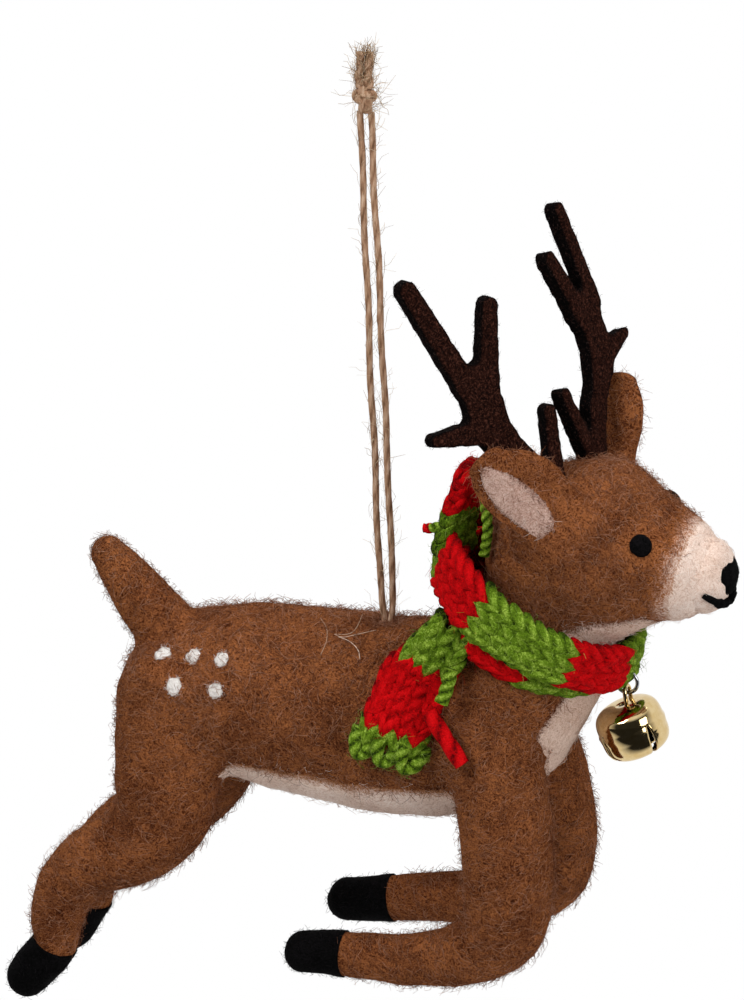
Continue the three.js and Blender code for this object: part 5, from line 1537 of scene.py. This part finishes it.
def scarf_strip(name, place, length, width, borders, finish, seed, halo, body="figure", looped=False,
                both_sides=False, wales=TURN_WALES):
    """One strip of the scarf: its backing, the knitted face or faces on it, and the yarn's halo of loose
    fibres in each colour. Gives the backing, and a list of the rest."""
    stripe_of = stripes(*borders)
    slot = finish[1]
    courses = round(length / COURSE)
    strip = backing(name + "_backing", place, length, width, stripe_of, looped, finish, body)
    pieces = []
    sides = [("knit", place)] + ([("back_knit", behind(place))] if both_sides else [])
    for side, side_place in sides:
        face, shape, stripe = knit(f"{name}_{side}", side_place, courses, wales, length, width, stripe_of,
                                   seed, finish, body)
        pieces.append(face)
        points, quads, _ = shape
        for colour, (word, (fibre, _)) in enumerate((("red", RED_HAIR), ("green", GREEN_HAIR))):
            striped = quads[stripe[quads[:, 0]] == colour]
            if len(striped):
                count = int(halo * (len(striped) / len(quads)))
                halo_name = f"{name}_{side}_{word}_halo"
                pieces.append(fuzz(halo_name, (points, striped), count, seed + 7 + colour, (fibre, slot),
                                   curve=3.0, body=body, steps=4, **YARN_HALO))
    return strip, pieces


outer_place, outer_length, outer_u = turn_place(1, 0)
inner_place, inner_length, inner_u = turn_place(0, SCARF_INNER_DROP)
nape_place, nape_length = path_place(SCARF_NAPE_PATH, SCARF_NAPE_WIDTH, NAPE_ACROSS, end=NAPE_END_SHARE)
tail_place, tail_length = path_place(SCARF_TAIL_PATH, SCARF_WIDTH, TAIL_ACROSS, corner=TAIL_CORNER)
tail_length = tail_length - TAIL_END_LOOPS
inner_turn, inner_pieces = scarf_strip(
    "scarf_inner_turn", inner_place, inner_length, SCARF_SIDE_WIDTH,
    [inner_u(degrees) for degrees in INNER_BORDERS], RED_YARN, 201, halo=1200, looped=True)
nape_end, nape_pieces = scarf_strip(
    "scarf_nape_end", nape_place, nape_length, SCARF_NAPE_WIDTH,
    NAPE_BORDERS, GREEN_YARN, 204, halo=600, both_sides=True)
outer_turn, outer_pieces = scarf_strip(
    "scarf_outer_turn", outer_place, outer_length, SCARF_SIDE_WIDTH,
    [-1, *(outer_u(degrees) for degrees in OUTER_BORDERS)], GREEN_YARN, 202, halo=3600, looped=True)
tail_strip, tail_pieces = scarf_strip(
    "scarf_tail", tail_place, tail_length, SCARF_WIDTH,
    TAIL_BORDERS, RED_YARN, 203, halo=1300, body=None, both_sides=True, wales=TAIL_WALES)
for piece in (tail_strip, *tail_pieces):
    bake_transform(piece)


def end_loops(name, place, at, width, loops, seed, steps=34, sides=10):
    """Curled loops of fat green yarn at a strip's free end, and their halo: arches side by side that leave
    the face, go round the end and come back, each at its own height and lean."""
    rng = np.random.default_rng(seed)
    part = np.linspace(-0.35, np.pi + 0.35, steps)[None]
    middle = ((np.arange(loops) + 0.5) / loops - 0.5)[:, None] * width
    size = rng.uniform(0.85, 1.1, (loops, 1))
    v = middle - width / loops * 0.36 * np.cos(part) + rng.normal(0, 0.2, (loops, 1)) * np.sin(part)
    u = at - 0.6 + LOOP_REACH * size * np.sin(part)
    n = 0.75 + rng.uniform(0, 0.4, (loops, 1)) * np.sin(part) + 0.5 * np.cos(part)
    lines, facing = place(u, v, n)
    shape = tubes(lines, facing, LOOP_YARN_RADIUS, sides, LOOP_PLY_PITCH, 0.2)
    step = np.linalg.norm(np.diff(lines, axis=1), axis=-1).mean()
    groove = groove_of(loops, steps, sides, step, LOOP_PLY_PITCH)
    make(name, shape, GREEN_YARN, "scarf_tail", groove=groove, stripe=np.ones(len(groove)))
    fuzz(name + "_halo", shape[:2], 130 * loops, seed + 1, GREEN_HAIR, curve=2.5, body="scarf_tail",
         **YARN_HALO)


def loose_yarn(name, path, radius, finish, body="figure", nodes=(), pitch=3.4, groove=0.24, steps=60):
    """One loose yarn on a smooth line through points measured from the back, all in its finish's stripe."""
    line = smooth_line(np.array(path, float) - [0, 0, TWINE_DROP], np.linspace(0, 1, steps))[0]
    shape, marks, _, _ = rope(line, radius, pitch, steps, 10, groove)
    stripe = np.full(len(marks), float(finish is GREEN_YARN))
    make(name, shape, finish, body, nodes, groove=marks, stripe=stripe)


end_loops("scarf_tail_end_loops", tail_place, tail_length, SCARF_WIDTH + 1.2, loops=3, seed=211)
loose_yarn("red_yarn_end_yarn", RED_YARN_PATH, 1.5, RED_YARN, "scarf_tail", ["red_yarn_end"], pitch=9.0,
           groove=0.1)
loose_yarn("green_yarn_end_yarn", GREEN_YARN_PATH, 1.3, GREEN_YARN, "scarf_tail", ["green_yarn_end"],
           pitch=4.0)
loose_yarn("nape_green_strand", NAPE_STRAND_PATH, 1.0, GREEN_YARN)
loose_yarn("nape_green_end", NAPE_END_PATH, 1.0, GREEN_YARN)
loose_yarn("nape_red_tip", NAPE_TIP_PATH, 0.95, RED_YARN)

# Jingle bell, its shank, the jump ring and the pellet


def bell_petals():
    """The bell's wall as four grids of points. Its profile is a rounded square, with a bead and a groove at
    the seam. On each petal the angle runs from slot to slot, where a slot's half width grows from nought
    above the seam to half the saw's width on the rounding below it."""
    latitude = np.linspace(math.pi / 2 - 0.02, -math.pi / 2 + 0.16, 72)[:, None]
    c, s = np.cos(latitude), np.sin(latitude)
    bend = 2 / BELL_SQUARENESS
    radius = BELL_DIAMETER / 2 * np.abs(c) ** bend
    height = BELL_HEIGHT / 2 * np.sign(s) * np.abs(s) ** bend
    radius = radius + BELL_SEAM * hump(height, 0.35, 0.22) - BELL_SEAM_GROOVE * hump(height, 0.02, 0.14)
    half = BELL_SLOT_WIDTH / 2 * np.sqrt(np.clip((BELL_SLOT_TOP - height) / BELL_SLOT_TAPER, 0, 1))
    edge = np.arcsin(np.clip(half / radius, 0, math.sin(math.pi / 4)))
    part = np.linspace(-1, 1, 25)[None]
    petals = []
    for quarter in range(4):
        angle = quarter * math.pi / 2 + part * (math.pi / 4 - edge)
        wall = np.broadcast_arrays(radius * np.cos(angle), radius * np.sin(angle), height)
        petals.append(np.stack(wall, -1))
    return petals


c, s = math.cos(math.radians(BELL_TILT)), -math.sin(math.radians(BELL_TILT))
bell_turn = np.array([[c, 0, s], [0, 1, 0], [-s, 0, c]])


def hung(points):
    """From the bell's own frame, whose origin is its hanging point, to the ornament's."""
    return points @ bell_turn.T + np.array(BELL_HANG)


bell_middle = np.array([0, 0, -SHANK_RISE - BELL_HEIGHT / 2])
askew = np.array(Matrix.Rotation(math.radians(BELL_ASKEW), 3, back))
petal_shapes = []
for petal in bell_petals():
    petal_quads = grid_faces(*petal.shape[:2], wrap_columns=False)[:, ::-1]
    petal_shapes.append((hung(petal.reshape(-1, 3) @ askew.T + bell_middle), petal_quads, NO_FACES))
bell = make("bell_shell_brass", join(*petal_shapes), GOLD_PLATE, "bell", ["bell_shell"])
weld = bell.modifiers.new("weld", "WELD")
weld.merge_threshold = BELL_WELD * MM
wall = bell.modifiers.new("wall", "SOLIDIFY")
wall.thickness, wall.offset, wall.use_even_offset = BELL_WALL * MM, -1, False
# The wall's inner side takes the near black painted shade
bell.data.materials.append(shaded_bell_inside)
wall.material_offset = 1

half_turn = np.linspace(0, np.pi, 40)[:, None]
arch = SHANK_WIDTH / 2 * (np.cos(half_turn) * Y_WAY + np.sin(half_turn) * Z_WAY)
feet = SHANK_RISE + SHANK_FOOT
shank_line = np.vstack([[[0, SHANK_WIDTH / 2, -feet]], arch, [[0, -SHANK_WIDTH / 2, -feet]]])
shank_line = hung(even_steps(shank_line, 70)[0])
shank_shape = tubes(shank_line[None], (bell_turn @ X_WAY)[None, None], SHANK_WIRE / 2, 14)
make("bell_shank_wire", shank_shape, GOLD_PLATE, "bell", ["bell_shank"])
ring_angle, wire_angle = net(full_turn(72), full_turn(16))
from_middle = (RING_DIAMETER - RING_WIRE) / 2 + RING_WIRE / 2 * np.cos(wire_angle)
ring_points = np.stack([from_middle * np.cos(ring_angle), RING_WIRE / 2 * np.sin(wire_angle),
                        from_middle * np.sin(ring_angle)], -1) + np.array(RING_CENTRE)
ring_quads = grid_faces(*ring_angle.shape, wrap_rows=True)[:, ::-1]
ring_shape = (ring_points.reshape(-1, 3), ring_quads, NO_FACES)
make("jump_ring_wire", ring_shape, STEEL_PLATE, "jump_ring", ["jump_ring"])
pellet_low = BELL_HEIGHT / 2 - BELL_WALL - PELLET_RADIUS - CLEARANCE
pellet_place = hung(bell_middle - [0, 0, pellet_low])
pellet_shape = pad(pellet_place, Z_WAY, (PELLET_RADIUS, PELLET_RADIUS), PELLET_RADIUS, seed=3, rough=0.0)
make("bell_pellet_steel", pellet_shape, STEEL_PLATE, "pellet", ["bell_pellet"])

# Loose fibres over the felt: long ones that lie on it, and short down that stands off it


def off_patches(points):
    """True where no pale layer covers the skin: clear of every point in the middle of a layer."""
    layer = np.vstack(pale_points)
    gap = (points**2).sum(1)[:, None] + (layer**2).sum(1) - 2 * points @ layer.T
    return gap.min(1) > OFF_PATCH**2


def behind_muzzle(points):
    """True on the head behind the muzzle's border, off the throat's pale layer and clear of both eyes."""
    to_eye = np.linalg.norm(points[:, None] - np.array(eye_places), axis=-1).min(1)
    off_eyes = to_eye > EYE_DIAMETER / 2 + OFF_EYE
    return (ahead_of_border(points) < -MUZZLE_LAP) & off_patches(points) & off_eyes


def bare_muzzle(points):
    """True on the muzzle ahead of its border and clear of the nose."""
    off_nose = np.linalg.norm((points - nose_centre) / (np.array(NOSE_RADII) + 1.0), axis=1) > 1
    return off_nose & (ahead_of_border(points) > -0.2)


def off_border(border):
    """A test that is true on a leg's wool clear of its hoof's upper border."""
    return lambda points: np.linalg.norm(points[:, None] - border, axis=-1).min(1) > OFF_HOOF


# Least and greatest radius of the body's fibres, and of those on head, tail and legs
BODY_FIBRE = (0.03, 0.05)
LIMB_FIBRE = (0.028, 0.046)
on_torso = {"curve": 15.0, "hidden": torso_others, "keep": off_patches, "thick": BODY_FIBRE}
on_head = {"curve": 13.0, "hidden": [torso_form], "keep": behind_muzzle, "thick": LIMB_FIBRE}
on_tail = {"curve": 5.0, "hidden": [torso_form], "thick": LIMB_FIBRE}
fuzz("torso_fuzz", torso_shape[:2], 7000, 301, BROWN_HAIR, length=(2.2, 5.2), rise=0.45, stray=0.06,
     **on_torso)
fuzz("torso_down", torso_shape[:2], 18500, 321, BROWN_HAIR, length=(1.2, 2.8), rise=1.0, stray=0.5,
     **on_torso, **DOWN)
fuzz("head_fuzz", head_shape[:2], 4200, 302, BROWN_HAIR, length=(1.6, 3.8), rise=0.4, stray=0.06, **on_head)
fuzz("head_down", head_shape[:2], 12000, 322, BROWN_HAIR, length=(1.0, 2.3), rise=0.9, stray=0.5,
     **on_head, **DOWN)
fuzz("muzzle_fuzz", muzzle_shape[:2], 1100, 303, CREAM_HAIR, curve=8.0, length=(0.8, 2.2), rise=0.25,
     stray=0.1, keep=bare_muzzle)
fuzz("nose_fuzz", nose_shape[:2], 420, 305, BLACK_HAIR, curve=3.0, length=(0.4, 1.1), rise=0.2, stray=0.5,
     steps=3, keep=lambda points: least_reach(points, [head_form]) > -0.4)
fuzz("tail_fuzz", tail_shape[:2], 800, 304, BROWN_HAIR, length=(1.4, 3.4), rise=0.4, stray=0.1,
     heading=wrapped(tail_form), **on_tail)
fuzz("tail_down", tail_shape[:2], 1800, 323, BROWN_HAIR, length=(1.0, 2.3), rise=0.9, stray=0.5,
     **on_tail, **DOWN)
for number, (name, (form, shape, hoof_shape)) in enumerate(leg_skins.items()):
    on_leg = {"curve": 6.5, "hidden": [torso_form], "thick": LIMB_FIBRE, "heading": wrapped(form),
              "keep": off_border(hoof_shape[0][:LEG_SIDES])}
    fuzz(name + "_leg_fuzz", shape[:2], 2200, 310 + number, BROWN_HAIR, length=(1.6, 4.2), rise=0.4,
         stray=0.06, **on_leg)
    fuzz(name + "_leg_down", shape[:2], 5800, 380 + number, BROWN_HAIR, length=(1.0, 2.5), rise=0.9,
         stray=0.45, **on_leg, **DOWN)
    fuzz(name + "_hoof_fuzz", hoof_shape[:2], 700, 390 + number, BLACK_HAIR, curve=4.0, length=(0.6, 1.6),
         rise=0.3, stray=0.4, **DOWN)
for number, (name, (shape, lining_skin)) in enumerate(ear_skins.items()):
    fuzz(name + "_fuzz", shape[:2], 2200, 330 + number, BROWN_HAIR, curve=6.0, length=(0.9, 2.2), rise=0.3,
         stray=0.6, hidden=[head_form], thick=(0.026, 0.044), **DOWN)
    fuzz(name + "_lining_fuzz", lining_skin, 600, 340 + number, LINING_HAIR, curve=12.0, length=(0.7, 1.6),
         rise=0.2, stray=0.0, thick=(0.016, 0.03))
for number, (name, (points, quads, _)) in enumerate(patch_shapes.items()):
    count = 1800 if name == "belly_patch" else 700
    fuzz(name + "_fuzz", (points, quads[: len(quads) // 2]), count, 350 + number, CREAM_HAIR, curve=14.0,
         length=(1.0, 2.6), rise=0.6, stray=0.4, hidden=legs, steps=4, lift=(0.1, 0.5))
for number, (name, shape) in enumerate(antler_shapes.items()):
    fuzz(name + "_fuzz", shape[:2], 3000, 360 + number, ANTLER_HAIR, curve=60.0, length=(0.35, 1.1),
         rise=0.3, stray=0.3, thick=(0.02, 0.036), steps=3)
from_hole = np.linalg.norm(torso_shape[0][torso_shape[1]].mean(1) - [0, 0, HOLE_FUZZ_Z], axis=1)
round_hole = (torso_shape[0], torso_shape[1][from_hole < HOLE_FUZZ_RADIUS])
fuzz("twine_hole_fuzz", round_hole, 330, 371, BROWN_HAIR, curve=60.0, length=(1.2, 3.2), rise=0.6,
     stray=0.8, thick=(0.026, 0.044))

# A few pale straws caught in the wool of the back

back_skin = [seen(torso_shape)]
straws = []
for hair in STRAWS:
    bends = [[x, STRAW_PLANE_Y, z - TWINE_DROP] for x, z in hair]
    line = smooth_line(bends, np.linspace(0, 1, STRAW_STEPS))[0]
    hits = [cast(back_skin, point + BESIDE * np.array(back), -back) for point in line]
    straws.append([place + STRAW_LIFT * outward for place, outward in hits])
straw_shape = tubes(np.array(straws), np.array([[[0.3, 0.9, 0.2]]]), STRAW_RADIUS, STRAW_SIDES)
straw_tones = np.repeat(np.linspace(0.2, 0.9, len(straws)), STRAW_STEPS * STRAW_SIDES)
make("straws_in_wool", straw_shape, STRAW, tone=straw_tones)

# Floor, background and soft studio light

quarters = ((-1, -1), (1, -1), (1, 1), (-1, 1))
corners = [(x * FLOOR_HALF_M, y * FLOOR_HALF_M, -FLOOR_BELOW_M) for x, y in quarters]
floor_mesh = bpy.data.meshes.new("floor")
floor_mesh.from_pydata(corners, [], [(0, 1, 2, 3)])
floor = bpy.data.objects.new("floor", floor_mesh)
bpy.context.scene.collection.objects.link(floor)
floor_paint, tree = new_material("white floor")
rays = node(tree, "ShaderNodeLightPath").outputs
white = node(tree, "ShaderNodeEmission", {"Color": (1, 1, 1, 1), "Strength": 1.0})
matt = node(tree, "ShaderNodeBsdfDiffuse", {"Color": (0.8, 0.8, 0.8, 1)})
place = node(tree, "ShaderNodeTexCoord").outputs["Object"]
nearer = node(tree, "ShaderNodeVectorMath", {0: place, 1: (back.x, back.y, 0)}, operation="DOT_PRODUCT")
mirrored = node(tree, "ShaderNodeMapRange", {
    "Value": nearer.outputs["Value"], "From Min": 0.3, "From Max": 0.75, "To Min": 1.0, "To Max": 0.02})
glow = node(tree, "ShaderNodeEmission", {"Color": (1, 1, 1, 1), "Strength": mirrored.outputs[0]})
mix = node(tree, "ShaderNodeMixShader", {0: rays["Is Glossy Ray"], 1: matt.outputs[0], 2: glow.outputs[0]})
mix = node(tree, "ShaderNodeMixShader", {0: rays["Is Camera Ray"], 1: mix.outputs[0], 2: white.outputs[0]})
node(tree, "ShaderNodeOutputMaterial", {"Surface": mix.outputs[0]})
floor.data.materials.append(floor_paint)

# White to the eye; metal mirrors a room that is dark on the viewer's side, with a bright ceiling
world = bpy.data.worlds.new("studio")
bpy.context.scene.world = world
world.use_nodes = True
tree = world.node_tree
tree.nodes.clear()
rays = node(tree, "ShaderNodeLightPath").outputs
seen_white = node(tree, "ShaderNodeMath", {0: rays["Is Camera Ray"], 1: rays["Is Transmission Ray"]},
                  operation="MAXIMUM").outputs[0]
way = node(tree, "ShaderNodeTexCoord").outputs["Generated"]
room_side = node(tree, "ShaderNodeVectorMath", {0: way, 1: tuple(back)}, operation="DOT_PRODUCT")
room = node(tree, "ShaderNodeMapRange", {
    "Value": room_side.outputs["Value"], "From Min": 0.1, "From Max": 0.6, "To Min": 1.0, "To Max": 0.03})
ceiling = node(tree, "ShaderNodeSeparateXYZ", {0: way}).outputs["Z"]
ceiling = node(tree, "ShaderNodeMapRange", {"Value": ceiling, "From Min": 0.55, "From Max": 0.8})
room = node(tree, "ShaderNodeMath", {0: room.outputs[0], 1: ceiling.outputs[0]}, operation="MAXIMUM")
glossy = node(tree, "ShaderNodeMix", {"Factor": rays["Is Glossy Ray"], 2: FILL_LIGHT, 3: room.outputs[0]})
strength = node(tree, "ShaderNodeMix", {"Factor": seen_white, 2: glossy.outputs[0], 3: 1.0}).outputs[0]
sky = node(tree, "ShaderNodeBackground", {"Color": (1, 1, 1, 1), "Strength": strength})
node(tree, "ShaderNodeOutputWorld", {"Surface": sky.outputs[0]})

# Square lamps that face the figure, each with its place and size in metres and its watts
for name, spot, size, watts in (
    ("key light", (-0.35, -0.75, 0.75), 0.5, 7.5),
    ("top light", (0.25, 0.1, 0.9), 0.6, 4.8),
    ("right light", (0.9, -0.35, 0.15), 0.45, 3.8),
):
    light = bpy.data.lights.new(name, "AREA")
    light.size, light.energy = size, watts
    lamp = bpy.data.objects.new(name, light)
    bpy.context.scene.collection.objects.link(lamp)
    lamp.location = spot
    lamp.rotation_euler = (Vector(spot) - Vector(LIGHT_TARGET_M)).to_track_quat("Z", "Y").to_euler()

bpy.context.scene.view_settings.view_transform = "Standard"
